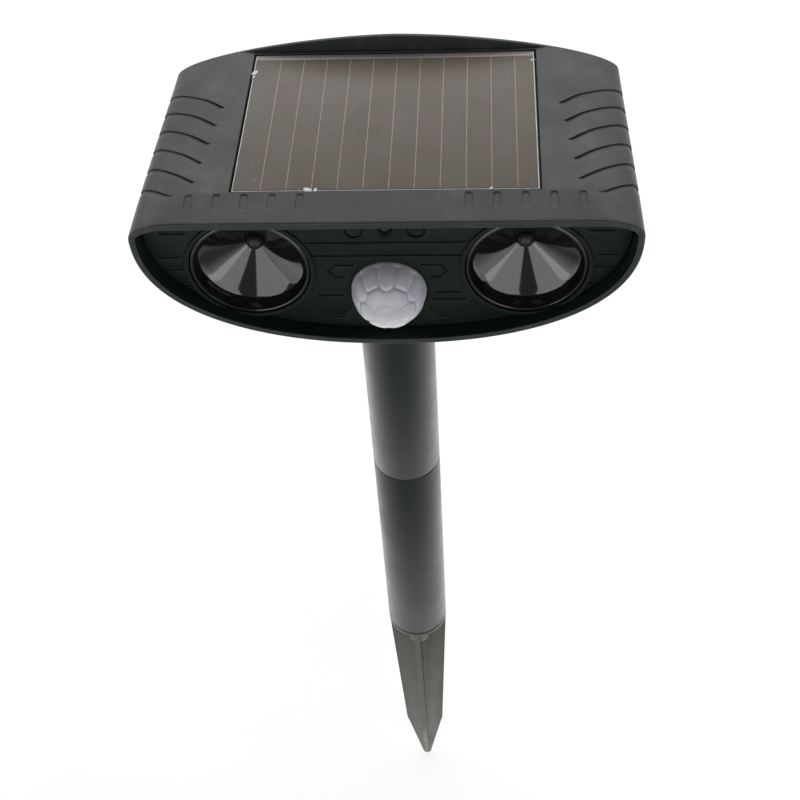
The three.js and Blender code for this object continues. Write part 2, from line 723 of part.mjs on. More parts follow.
function controlKnob(z) {
  const y0 = coverFace + gap;
  const y1 = y0 + knob.height;
  const stem = coverFace - coverThickness - 3 + gap;
  const body = turnedY([
    [0, stem], [pot.shaft - 0.6, stem], [pot.shaft - 0.6, y0], [knob.radius, y0], [knob.radius, y1 - 0.8],
    [knob.radius - 0.8, y1], [0, y1],
  ], knob.x, z, 24);
  const ribs = [];
  for (let i = 0; i < knob.flutes; i += 1) {
    const turn = ((i + 0.5) * 2 * Math.PI) / knob.flutes;
    const x = knob.x + knob.radius * Math.cos(turn);
    ribs.push(rodY(knob.flute, y0 + 0.6, y1 + 1, x, z + knob.radius * Math.sin(turn), 5));
  }
  const pointer = box(knob.x - 0.5, knob.x + 0.5, y1 - 0.6, y1 + 1, z + 1.5, z + knob.radius);
  return cutBy(body, joined(...ribs), pointer);
}

function switchBody() {
  const { x, z, width, height, depth, travel } = powerSwitch;
  const body = box(x - width / 2, x + width / 2, switchBack - depth, switchBack, z - height / 2, z + height / 2);
  const reach = slider.width / 2 + travel / 2 + gap;
  return body.subtract(box(x - reach, x + reach, switchBack - 3, switchBack + 1,
    z - slider.height / 2 - gap, z + slider.height / 2 + gap));
}

function powerSlider() {
  const x0 = powerSwitch.x - slider.width / 2 - powerSwitch.travel / 2;
  const y0 = switchBack - 3 + gap;
  const y1 = coverFace + slider.proud;
  const half = slider.height / 2;
  const body = box(x0, x0 + slider.width, y0, y1, powerSwitch.z - half, powerSwitch.z + half);
  const grips = [0, 1].map((i) => box(x0 + 1 + 1.4 * i, x0 + 1.6 + 1.4 * i, y1 - 0.5, y1 + 1,
    powerSwitch.z - half - 1, powerSwitch.z + half + 1));
  return cutBy(body, ...grips);
}

function chargeSocket() {
  const { x, z, width, height, depth } = charge;
  const y1 = coverFace;
  const body = box(x - width / 2, x + width / 2, y1 - depth, y1, z - height / 2, z + height / 2);
  const mouth = box(x - chargeMouth.width / 2, x + chargeMouth.width / 2, y1 - chargeMouth.depth, y1 + 1,
    z - chargeMouth.height / 2, z + chargeMouth.height / 2);
  return body.subtract(mouth);
}

function chargePortCap() {
  const y0 = coverFace + gap;
  const { width, height, thickness, stub } = chargeCap;
  const plate = box(charge.x - width / 2, charge.x + width / 2, y0, y0 + thickness,
    charge.z - height / 2, charge.z + height / 2);
  const plug = box(
    charge.x - chargeMouth.width / 2 + gap, charge.x + chargeMouth.width / 2 - gap, coverFace - stub, y0 + 0.5,
    charge.z - chargeMouth.height / 2 + gap, charge.z + chargeMouth.height / 2 - gap,
  );
  const pull = box(charge.x - 3, charge.x + 3, y0, y0 + thickness + 1.2, charge.z - 0.8, charge.z + 0.8);
  return joined(plate, plug, pull);
}

// ---------------------------------------------------------------- fasteners
// Pan-head cross screw along Y. The head's seat is at y = seat, and the shank runs to -Y or +Y.
function screwY(x, z, seat, towards) {
  const tip = seat + towards * screwLength;
  const top = seat - towards * screwHead.height;
  const profile = [
    [0, top], [screwHead.radius * 0.7, top], [screwHead.radius, top + towards * 0.7], [screwHead.radius, seat],
    [screwShank, seat], [screwShank, tip - towards], [0, tip],
  ];
  const body = turnedY(profile, x, z, 12);
  const low = Math.min(top - towards, top + towards * 0.9);
  const high = Math.max(top - towards, top + towards * 0.9);
  const cross = box(x - 1.5, x + 1.5, low, high, z - 0.35, z + 0.35)
    .add(box(x - 0.35, x + 0.35, low, high, z - 1.5, z + 1.5));
  return body.subtract(cross);
}

function socketScrew(side) {
  const x = side * socketScrewX;
  const seat = socketPad + gap + socketFlange.thickness + gap;
  const tip = socketPad - 2.4;
  const body = turnedZ([
    [0, tip], [screwShank, tip + 1], [screwShank, seat], [screwHead.radius, seat],
    [screwHead.radius, seat + screwHead.height - 0.7], [screwHead.radius * 0.7, seat + screwHead.height],
    [0, seat + screwHead.height],
  ], x, poleSetback, 12);
  const top = seat + screwHead.height;
  const cross = box(x - 1.5, x + 1.5, poleSetback - 0.35, poleSetback + 0.35, top - 0.9, top + 1)
    .add(box(x - 0.35, x + 0.35, poleSetback - 1.5, poleSetback + 1.5, top - 0.9, top + 1));
  return body.subtract(cross);
}

// ---------------------------------------------------------------- pole
function poleSocket() {
  const flangeLow = socketPad + gap;
  const flangeReach = socketScrewX + lugRadius;
  const { thickness, halfDepth } = socketFlange;
  const flange = box(-flangeReach, flangeReach, poleSetback - halfDepth, poleSetback + halfDepth,
    flangeLow, flangeLow + thickness);
  const holes = [-1, 1].map((side) => rodZ(pilot, -headWidth, 0, side * socketScrewX, poleSetback, fine));
  return cutBy(
    rodZ(socketRadius, socketMouth, socketTop, 0, poleSetback).add(flange),
    rodZ(socketBore, socketMouth - 1, socketTop - socketWall, 0, poleSetback),
    ...holes,
  );
}

const tubeBore = tubeRadius - tubeWall;
const spigotRadius = tubeBore - gap;
const spigotBore = spigotRadius - tubeWall;
const lowerTubeFoot = spikeFlange + gap;

function lowerTube() {
  const top = lowerTubeTop;
  return turnedZ([
    [tubeBore, lowerTubeFoot], [tubeRadius, lowerTubeFoot], [tubeRadius, top], [spigotRadius, top],
    [spigotRadius, top + spigotLength - 1], [spigotRadius - 0.6, top + spigotLength], [spigotBore, top + spigotLength],
    [spigotBore, top - tubeWall - 1], [tubeBore, top - tubeWall - 3], [tubeBore, lowerTubeFoot],
  ]);
}

function upperTube() {
  const foot = lowerTubeTop + gap;
  const top = headHeight + poleTop;
  return turnedZ([
    [tubeBore, foot], [tubeRadius, foot], [tubeRadius, top - 0.8], [tubeRadius - 0.8, top], [tubeBore, top],
    [tubeBore, foot],
  ]);
}

function blade() {
  const shape = new THREE.Shape();
  shape.moveTo(-bladeTop, 0.5);
  shape.lineTo(-bladeShoulder, -spikeShoulder + 3);
  shape.quadraticCurveTo(-bladeShoulder + 0.2, -spikeShoulder, -bladeShoulder + 1, -spikeShoulder - 3);
  shape.lineTo(-bladeTip, -spikeLength + bladeTip);
  shape.quadraticCurveTo(0, -spikeLength - bladeTip / 2, bladeTip, -spikeLength + bladeTip);
  shape.lineTo(bladeShoulder - 1, -spikeShoulder - 3);
  shape.quadraticCurveTo(bladeShoulder - 0.2, -spikeShoulder, bladeShoulder, -spikeShoulder + 3);
  shape.lineTo(bladeTop, 0.5);
  const geometry = new THREE.ExtrudeGeometry(shape, { depth: bladeThickness, bevelEnabled: false, curveSegments: 2 });
  geometry.translate(0, 0, -bladeThickness / 2);
  geometry.rotateX(Math.PI / 2);
  return geometry;
}

function groundSpike() {
  const flange = rodZ(tubeRadius, 0, spikeFlange);
  const hub = turnedZ([[0, -hubLength], [hubRadius - 1, -hubLength], [hubRadius, -hubLength + 1], [hubRadius, 1], [0, 1]]);
  const spigotTop = spikeFlange + spigotLength;
  const spigot = turnedZ([
    [spigotBore, spikeFlange - 0.5], [spigotRadius, spikeFlange - 0.5], [spigotRadius, spigotTop - 1],
    [spigotRadius - 0.6, spigotTop], [spigotBore, spigotTop], [spigotBore, spikeFlange - 0.5],
  ]);
  const across = blade();
  const along = blade().rotateZ(Math.PI / 2);
  return joined(flange, hub, spigot, solid(across), solid(along));
}

// ---------------------------------------------------------------- leads inside the head
const driverEnd = driverBack + gap + wireRadius;
const boardEnd = boardFront - gap - wireRadius;
const speakerLead = (side) => [
  [side * (speakerX - 4), driverEnd, speakerZ], [side * (speakerX - 6), driverEnd + 6, speakerZ - 4],
  [side * 33, boardEnd - 6, -12], [side * 33, boardEnd, -9],
];
const solarLead = [[-24, 48, solarSeat - 0.6], [-24, 48, 1], [-24, 51, -3], [-24, boardEnd, -4]];
const batteryLead = [[-12, batteryFront - batteryWall - gap, -12], [-12, 61, -14], [-16, 60, -17],
  [-18, boardBack + gap + wireRadius, -18]];
const sensorLead = [[3, panelFace + gap + sensorBoardThickness + gap + wireRadius, lensZ + 4],
  [3, 16, lensZ + 7], [4, 38, lensZ + 8], [6, boardEnd, lensZ + 8]];
const lampLead = [[0, panelBack + gap + 1 + gap + wireRadius, lampZ], [-2, 20, lampZ - 2], [0, 44, -2], [3, boardEnd, -3]];

function lead(points) {
  const path = new THREE.CatmullRomCurve3(points.map((p) => new THREE.Vector3(...p)));
  const shape = new THREE.Shape();
  shape.absarc(0, 0, wireRadius, 0, 2 * Math.PI, false);
  const options = { steps: 10, extrudePath: path, curveSegments: 4, bevelEnabled: false };
  return solid(new THREE.ExtrudeGeometry(shape, options));
}

// ---------------------------------------------------------------- assembly
const head = new THREE.Group();
head.position.set(0, -poleSetback, headHeight);

head.add(
  makeMesh('main_housing', mainHousing(), greenShell),
  makeMesh('front_panel', frontPanel(), greenPanel),
  makeMesh('rear_cover', rearCover(), greenPanel),
  makeMesh('solar_panel', solarPanel(), cellBrown),
  makeMesh('solar_gasket', solarGasket(), foam),
  makeMesh('motion_lens', motionLens(), lensWhite),
  makeMesh('lens_clamp', lensClamp(), mattBlack),
  makeMesh('motion_sensor_board', sensorBoard(), boardGreen),
  makeMesh('motion_sensor', motionSensor(), steel),
  makeMesh('status_lamp', statusLamp(), lampRed),
  makeMesh('control_board', controlBoard(), boardGreen),
  makeMesh('inductor', inductor(), copper),
  makeMesh('capacitor', capacitor(), mattBlack),
  makeMesh('power_switch', switchBody(), mattBlack),
  makeMesh('power_slider', powerSlider(), mattBlack),
  makeMesh('charge_socket', chargeSocket(), steel),
  makeMesh('charge_cap', chargePortCap(), rubberBlack),
  makeMesh('battery_door', batteryDoor(), greenPanel),
  makeMesh('pole_socket', poleSocket(), greenPole),
  makeMesh('lead_solar', lead(solarLead), leadRed),
  makeMesh('lead_battery', lead(batteryLead), leadRed),
  makeMesh('lead_motion_sensor', lead(sensorLead), leadRed),
  makeMesh('lead_lamp', lead(lampLead), leadRed),
);

for (const [side, word] of [[-1, 'left'], [1, 'right']]) {
  head.add(
    makeMesh(`speaker_horn_${word}`, speakerHorn(side), glossBlack),
    makeMesh(`speaker_dome_${word}`, speakerDome(side), mattBlack),
    makeMesh(`speaker_driver_${word}`, speakerDriver(side), mattBlack),
    makeMesh(`lead_speaker_${word}`, lead(speakerLead(side)), leadRed),
    makeMesh(`battery_contact_${word}`, contactStrip(side), steel),
    makeMesh(`board_screw_${word}`, screwY(side * boardScrew.x, boardScrew.z, boardBack + gap, -1), steel),
    makeMesh(`socket_screw_${word}`, socketScrew(side), steel),
  );
}

for (const [z, word] of [[knob.upperZ, 'frequency'], [knob.lowerZ, 'sensitivity']]) {
  head.add(
    makeMesh(`${word}_control`, potentiometer(z), mattBlack),
    makeMesh(`${word}_knob`, controlKnob(z), mattBlack),
  );
}

[-1, 0, 1].forEach((row, i) => head.add(makeMesh(`battery_cell_${i + 1}`, batteryCell(row), cellWrap)));

frontLugs.forEach(([x, z], i) => {
  const seat = panelBack + gap + screwLength - 1 + gap;
  head.add(makeMesh(`front_screw_${i + 1}`, screwY(x, z, seat, -1), steel));
});
rearLugs.forEach(([x, z], i) => {
  head.add(makeMesh(`rear_screw_${i + 1}`, screwY(x, z, coverFace + gap, -1), steel));
});

const repeller = new THREE.Group();
repeller.add(
  head,
  makeMesh('upper_tube', upperTube(), greenPole),
  makeMesh('lower_tube', lowerTube(), greenPole),
  makeMesh('ground_spike', groundSpike(), greenPole),
);

export default repeller;
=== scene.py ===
"""Solar ultrasonic pest repeller: looks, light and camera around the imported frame.

Sizes are in millimetres in the head's own frame (x across, y back from the front rim, z up from the
rim's widest point) or on the pole's axis, and place() turns them into the frame's metres.
"""
import math
import random
from contextlib import contextmanager

import bmesh
import bpy
from mathutils import Matrix, Vector


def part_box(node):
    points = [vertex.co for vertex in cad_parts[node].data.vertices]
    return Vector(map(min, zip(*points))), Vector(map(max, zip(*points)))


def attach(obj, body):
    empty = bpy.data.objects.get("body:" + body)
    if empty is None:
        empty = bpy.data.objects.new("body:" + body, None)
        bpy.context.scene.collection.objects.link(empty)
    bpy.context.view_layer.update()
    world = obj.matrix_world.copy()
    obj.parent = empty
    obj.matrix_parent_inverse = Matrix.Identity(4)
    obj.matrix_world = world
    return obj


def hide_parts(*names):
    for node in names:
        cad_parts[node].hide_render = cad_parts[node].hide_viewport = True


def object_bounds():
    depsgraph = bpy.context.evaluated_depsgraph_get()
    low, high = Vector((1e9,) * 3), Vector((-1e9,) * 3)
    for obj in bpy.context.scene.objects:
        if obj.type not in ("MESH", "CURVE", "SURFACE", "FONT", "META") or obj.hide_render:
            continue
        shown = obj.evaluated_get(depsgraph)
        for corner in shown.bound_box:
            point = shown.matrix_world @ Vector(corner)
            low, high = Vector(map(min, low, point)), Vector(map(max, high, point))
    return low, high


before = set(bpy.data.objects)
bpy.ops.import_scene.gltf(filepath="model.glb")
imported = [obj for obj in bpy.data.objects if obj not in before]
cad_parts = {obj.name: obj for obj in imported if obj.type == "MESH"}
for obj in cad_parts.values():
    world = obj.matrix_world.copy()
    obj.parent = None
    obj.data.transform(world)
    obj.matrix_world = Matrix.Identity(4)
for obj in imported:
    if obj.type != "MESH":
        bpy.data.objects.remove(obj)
CAD_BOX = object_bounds()

bl_info = {
    "name": "Solar pest repeller",
    "version": (1, 0, 0),
    "blender": (4, 5, 0),
    "location": "View3D > Sidebar > Repeller",
    "description": "Builds the finished surfaces of a solar ultrasonic pest repeller on a spiked pole",
    "category": "Object",
}

# ---------------------------------------------------------------- sizes, millimetres
MM = 0.001
GAP = 0.3
WALL = 2.5
PLATE = 2.0
EDGE = 0.35  # rounding of the plates' edges and of the housing's inner rim
RIM_ROUND = 0.55
NODE_MERGE = 2e-6  # metres; points closer than this are one point

HEAD_WIDTH = 150.0
REAR_WIDTH = 146.0
HEAD_DEPTH = 84.0
RIM_TOP = 7.9
RIM_BOTTOM = 42.4
REAR_BOTTOM = 40.0
FRONT_CROWN = 9.3
REAR_CROWN = 14.8
CROWN_RISE = 0.55
FRONT_POWER = 3.6
REAR_POWER = 1.65
LOW_POWER = 2.2
DECK = 9.5
DECK_START = 12.2
REAR_LIP = 1.6
CEILING = 5.0
PANEL_FACE = 4.8
COVER_FACE = HEAD_DEPTH - 4.0
COVER_INSIDE = COVER_FACE - PLATE

SOLAR_HALF = 45.05
SOLAR_START = 13.0
SOLAR_BACK = 80.9
SOLAR_TOP = 9.3
SOLAR_THICK = 2.0
SOLAR_SEAT = 6.6
SOLAR_CLEAR = 0.6

GROOVE_LEAN = math.radians(36)
GROOVE_STARTS = [(63.5, 11.6)] + [(57 - 1.1 * i, 16.8 + 9.0 * i) for i in range(5)]
GROOVE_LOW = -22.0
SLOT_CENTRES = [24.5 + 8.2 * i for i in range(5)]
SLOT_HALF = 1.2
SLOT_FRONT, SLOT_BACK = 5.0, 11.6
SLOT_DEPTH = 0.28

SPEAKER_X, SPEAKER_Z = 41.6, -14.1
SPEAKER_HOLE = 18.4
LIP_WIDTH, LIP_HEIGHT, LIP_ROUND, COLLAR = 1.5, 1.0, 0.45, 4.6
HORN_RIM_Y = PANEL_FACE + 2.6
HORN_THROAT_Y = HORN_RIM_Y + 9.6
HORN_THROAT = 2.9
HORN_LIP = 3.1  # straight wall in front of the cone
CONE_RADIUS = 16.4  # the horn is steep outside this radius and a straight cone inside it
CONE_Y = HORN_RIM_Y + 1.8
HORN_SKIN = 1.3
DOME_RADIUS, DOME_HEIGHT = 2.6, 2.4
LENS_RADIUS, LENS_SKIN, LENS_Z = 11.5, 1.0, -23.6
LENS_FLANGE = 1.7
LAMP_Z, LAMP_SPACING = 0.7, 9.15
LAMP_HOLE, LAMP_SINK = 2.1, 3.4
LAMP_RING = (2.0, 2.9, 0.8)
LINE_WIDTH, LINE_DEPTH = 0.9, 0.45

TUBE_RADIUS = 12.4
SPIKE_FLANGE = 2.5
LOWER_TOP = 110.9
SPIKE_LENGTH = 133.3
SPIKE_SHOULDER = 95.7
BLADE_SHOULDER, BLADE_TIP = 8.7, 2.0
BLADE_THICK = 2.0
HUB_RADIUS, HUB_LENGTH = 5.3, 17.5
TUBE_WALL, SPIGOT_LENGTH = 1.8, 24.0
SOCKET_PAD_Z = -36.0
SOCKET_SCREW_X, SOCKET_EAR = 20.0, 3.6

KNOB_X, KNOB_Z = 42.0, (-2.0, -20.0)
KNOB_RADIUS, KNOB_HEIGHT, KNOB_TRAVEL = 6.5, 4.6, 150
TRAY_WALL = 1.6
KNOB_HOLE, KNOB_MARKS = 3.3, 11
SWITCH_X, SWITCH_Z = -42.0, -2.0
SWITCH_OPENING, SWITCH_FRAME, SWITCH_FRAME_INSIDE = (4.3, 2.0), (7.5, 5.5), (6.9, 4.9)  # half sizes
CHARGE_X, CHARGE_Z = -42.0, -20.0
CHARGE_OPENING = (5.0, 2.4)
SCREW_HOLE = 1.75
LUG_RADIUS, FRONT_LUG, REAR_LUG = 3.6, 7.0, 8.0
BOARD_SCREWS = [(side * 46.5, 57.9, -11.0) for side in (-1, 1)]
REAR_SCREWS = [(-63, -4), (63, -4), (-33, -31), (33, -31)]
FRONT_SCREWS = [(-63, -3), (63, -3), (-21, -33.4), (21, -33.4)]

# The head's frame in the whole object's frame, from the housing and the pole.
HOUSING_LOW, HOUSING_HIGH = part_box("main_housing")
FRONT_Y = HOUSING_LOW[1] / MM
HEAD_Z = HOUSING_HIGH[2] / MM - REAR_CROWN
POLE_Y = -FRONT_Y
HEAD = Vector((0.0, FRONT_Y, HEAD_Z))
POLE = Vector((0.0, 0.0, 0.0))


# ---------------------------------------------------------------- small sums
def lerp(a, b, t):
    return a + (b - a) * t


def clamp(value, low=0.0, high=1.0):
    return max(low, min(high, value))


def ease(low, high, value):
    """Smooth step from 0 at low to 1 at high."""
    t = clamp((value - low) / (high - low))
    return t * t * (3 - 2 * t)


def quarter(steps, first=0):
    """Angles from 0 (or a later step) to a right angle."""
    return [math.pi / 2 * i / steps for i in range(first, steps + 1)]


def rounding(radius, angles):
    """Points of a quarter round, from (radius, 0) to (0, radius)."""
    return [(radius * (1 - math.sin(t)), radius * (1 - math.cos(t))) for t in (*angles, math.pi / 2)]


def soft_min(a, b, radius):
    """The lower of two heights, rounded where they meet."""
    if radius <= 0:
        return min(a, b)
    h = clamp(0.5 + 0.5 * (b - a) / radius)
    return lerp(b, a, h) - radius * h * (1 - h) * 0.5


# ---------------------------------------------------------------- meshes
def place(point, origin):
    return (Vector(point) + origin) * MM


def new_object(name, data):
    """Object on the given mesh, light or camera, linked into the scene."""
    obj = bpy.data.objects.new(name, data)
    bpy.context.scene.collection.objects.link(obj)
    return obj


@contextmanager
def editing(obj):
    """Opens an object's mesh for bmesh operators and writes it back."""
    edit = bmesh.new()
    edit.from_mesh(obj.data)
    yield edit
    edit.to_mesh(obj.data)
    edit.free()


def mesh_object(name, verts, faces, origin=HEAD):
    """Object on a mesh in millimetres from origin, with its faces turned outwards."""
    mesh = bpy.data.meshes.new(name)
    mesh.from_pydata([place(v, origin) for v in verts], [], faces)
    mesh.update()
    obj = new_object(name, mesh)
    with editing(obj) as edit:
        bmesh.ops.remove_doubles(edit, verts=edit.verts, dist=1e-7)
        bmesh.ops.recalc_face_normals(edit, faces=edit.faces)
    return obj


def bake_modifiers(obj):
    """Turns an object and its modifiers into a plain mesh."""
    graph = bpy.context.evaluated_depsgraph_get()
    mesh = bpy.data.meshes.new_from_object(obj.evaluated_get(graph))
    obj.modifiers.clear()
    old = obj.data
    obj.data = mesh
    mesh.name = obj.name
    if old.users == 0:
        bpy.data.meshes.remove(old)


def discard(obj):
    mesh = obj.data
    bpy.data.objects.remove(obj)
    if mesh.users == 0:
        bpy.data.meshes.remove(mesh)


def combine(obj, tools, operation):
    """Joins tools to obj or cuts them out of it, one after another."""
    for tool in tools:
        modifier = obj.modifiers.new("combine", "BOOLEAN")
        modifier.operation = operation
        modifier.solver = "EXACT"
        modifier.object = tool
        bake_modifiers(obj)
        discard(tool)
    return obj


def soften(obj, width, segments=2, angle=32):
    """Rounds the hard edges of a solid."""
    with editing(obj) as edit:
        bmesh.ops.remove_doubles(edit, verts=edit.verts, dist=NODE_MERGE)
        bmesh.ops.dissolve_limit(edit, angle_limit=math.radians(1), verts=edit.verts, edges=edit.edges)
    modifier = obj.modifiers.new("rounding", "BEVEL")
    modifier.width = width * MM
    modifier.segments = segments
    modifier.limit_method = "ANGLE"
    modifier.angle_limit = math.radians(angle)
    modifier.use_clamp_overlap = True
    bake_modifiers(obj)
    return obj


def shade(obj, angle=30):
    for polygon in obj.data.polygons:
        polygon.use_smooth = True
    obj.data.set_sharp_from_angle(angle=math.radians(angle))


def settle(obj, body, finishes, nodes=(), angle=30):
    """Finishes a piece: shading, materials, body and the nodes that it stands for."""
    shade(obj, angle)
    obj.data.materials.clear()
    for name in finishes.split():
        obj.data.materials.append(finish_named(name))
    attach(obj, body)
    if nodes:
        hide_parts(*nodes)


def rings_mesh(rings, closed=False):
    """Faces through rings of equally many points. Rings run along the piece; an open run is capped."""
    verts = [point for ring in rings for point in ring]
    count = len(rings[0])
    faces = []
    spans = len(rings) if closed else len(rings) - 1
    for i in range(spans):
        a, b = i * count, ((i + 1) % len(rings)) * count
        for j in range(count):
            k = (j + 1) % count
            faces.append((a + j, a + k, b + k, b + j))
    if not closed:
        faces.append(tuple(range(count)))
        faces.append(tuple(range(len(verts) - count, len(verts))))
    return verts, faces


def rings_object(name, rings, closed=False, origin=HEAD):
    return mesh_object(name, *rings_mesh(rings, closed), origin)


def lathe(name, profile, axis="Y", centre=(0.0, 0.0), origin=HEAD, segments=96, closed=False):
    """Turned solid from (radius, height) pairs. An open profile is capped at both ends."""
    rings = []
    for radius, height in profile:
        ring = []
        for i in range(segments):
            turn = 2 * math.pi * i / segments
            across, up = radius * math.cos(turn), radius * math.sin(turn)
            if axis == "Y":
                ring.append((centre[0] + across, height, centre[1] + up))
            else:
                ring.append((centre[0] + across, centre[1] + up, height))
        rings.append(ring)
    return rings_object(name, rings, closed, origin)


def rod(name, radius, y0, y1, x, z, segments):
    return lathe(name, [(radius, y0), (radius, y1)], "Y", (x, z), segments=segments)


def block(name, x, y, z, radius=0.0, segments=2, origin=HEAD):
    """Box between three pairs of limits, with rounded edges."""
    edit = bmesh.new()
    bmesh.ops.create_cube(edit, size=1.0)
    size = Vector((x[1] - x[0], y[1] - y[0], z[1] - z[0]))
    middle = Vector(((x[0] + x[1]) / 2, (y[0] + y[1]) / 2, (z[0] + z[1]) / 2))
    for vert in edit.verts:
        vert.co = Vector([vert.co[i] * size[i] + middle[i] for i in range(3)])
        vert.co = place(vert.co, origin)
    if radius > 0:
        bmesh.ops.bevel(edit, geom=edit.edges[:], offset=radius * MM, segments=segments,
                        affect="EDGES", profile=0.5)
    mesh = bpy.data.meshes.new(name)
    edit.to_mesh(mesh)
    edit.free()
    return new_object(name, mesh)


def prism(name, outline, y0, y1):
    """Straight-sided solid on an (x, z) outline."""
    return rings_object(name, [[(x, y, z) for x, z in outline] for y in (y0, y1)])


def node_copy(node, name):
    """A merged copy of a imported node's mesh."""
    obj = new_object(name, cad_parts[node].data.copy())
    obj.data.materials.clear()
    with editing(obj) as edit:
        bmesh.ops.remove_doubles(edit, verts=edit.verts, dist=NODE_MERGE)
    for attribute in [a.name for a in obj.data.attributes if a.name == "custom_normal"]:
        obj.data.attributes.remove(obj.data.attributes[attribute])
    return obj


# ---------------------------------------------------------------- node groups
def tree_input(group, label, kind):
    return group.interface.new_socket(name=label, in_out="INPUT", socket_type=kind).identifier


def repeat_tree(name):
    """Geometry Nodes: an object repeated on the points of a mesh, turned by a named angle step."""
    group = bpy.data.node_groups.new(name, "GeometryNodeTree")
    tree_input(group, "Points", "NodeSocketGeometry")
    keys = {
        "piece": tree_input(group, "Piece", "NodeSocketObject"),
        "material": tree_input(group, "Material", "NodeSocketMaterial"),
        "step": tree_input(group, "Turn step", "NodeSocketFloat"),
        "axis": tree_input(group, "Turn axis", "NodeSocketVector"),
    }
    group.interface.new_socket(name="Geometry", in_out="OUTPUT", socket_type="NodeSocketGeometry")
    nodes = group.nodes
    source = nodes.new("NodeGroupInput")
    result = nodes.new("NodeGroupOutput")
    info = nodes.new("GeometryNodeObjectInfo")
    index = nodes.new("GeometryNodeInputIndex")
    angle = nodes.new("ShaderNodeMath")
    angle.operation = "MULTIPLY"
    turn = nodes.new("FunctionNodeAxisAngleToRotation")
    instances = nodes.new("GeometryNodeInstanceOnPoints")
    real = nodes.new("GeometryNodeRealizeInstances")
    paint = nodes.new("GeometryNodeSetMaterial")
    for node, output, target, entry in (
        (source, "Points", instances, "Points"),
        (source, "Piece", info, "Object"),
        (info, "Geometry", instances, "Instance"),
        (index, 0, angle, 0),
        (source, "Turn step", angle, 1),
        (source, "Turn axis", turn, "Axis"),
        (angle, 0, turn, "Angle"),
        (turn, 0, instances, "Rotation"),
        (instances, 0, real, 0),
        (real, 0, paint, "Geometry"),
        (source, "Material", paint, "Material"),
        (paint, 0, result, 0),
    ):
        group.links.new(node.outputs[output], target.inputs[entry])
    return group, keys


def repeated(name, piece, points, material, origin=HEAD, step=0.0, axis=(0.0, 1.0, 0.0)):
    """A plain mesh of piece repeated at points. piece is modelled about the world origin."""
    mesh = bpy.data.meshes.new(name)
    mesh.from_pydata([place(p, origin) for p in points], [], [])
    obj = new_object(name, mesh)
    group, keys = repeat_tree(name + "_repeat")
    modifier = obj.modifiers.new("repeat", "NODES")
    modifier.node_group = group
    modifier[keys["piece"]] = piece
    modifier[keys["material"]] = material
    modifier[keys["step"]] = step
    modifier[keys["axis"]] = axis
    bake_modifiers(obj)
    discard(piece)
    bpy.data.node_groups.remove(group)
    return obj


# ---------------------------------------------------------------- finishes
def linear(colour):
    """Linear values of an sRGB colour given as 0 to 1 values."""
    return tuple(c / 12.92 if c <= 0.04045 else ((c + 0.055) / 1.055) ** 2.4 for c in colour)


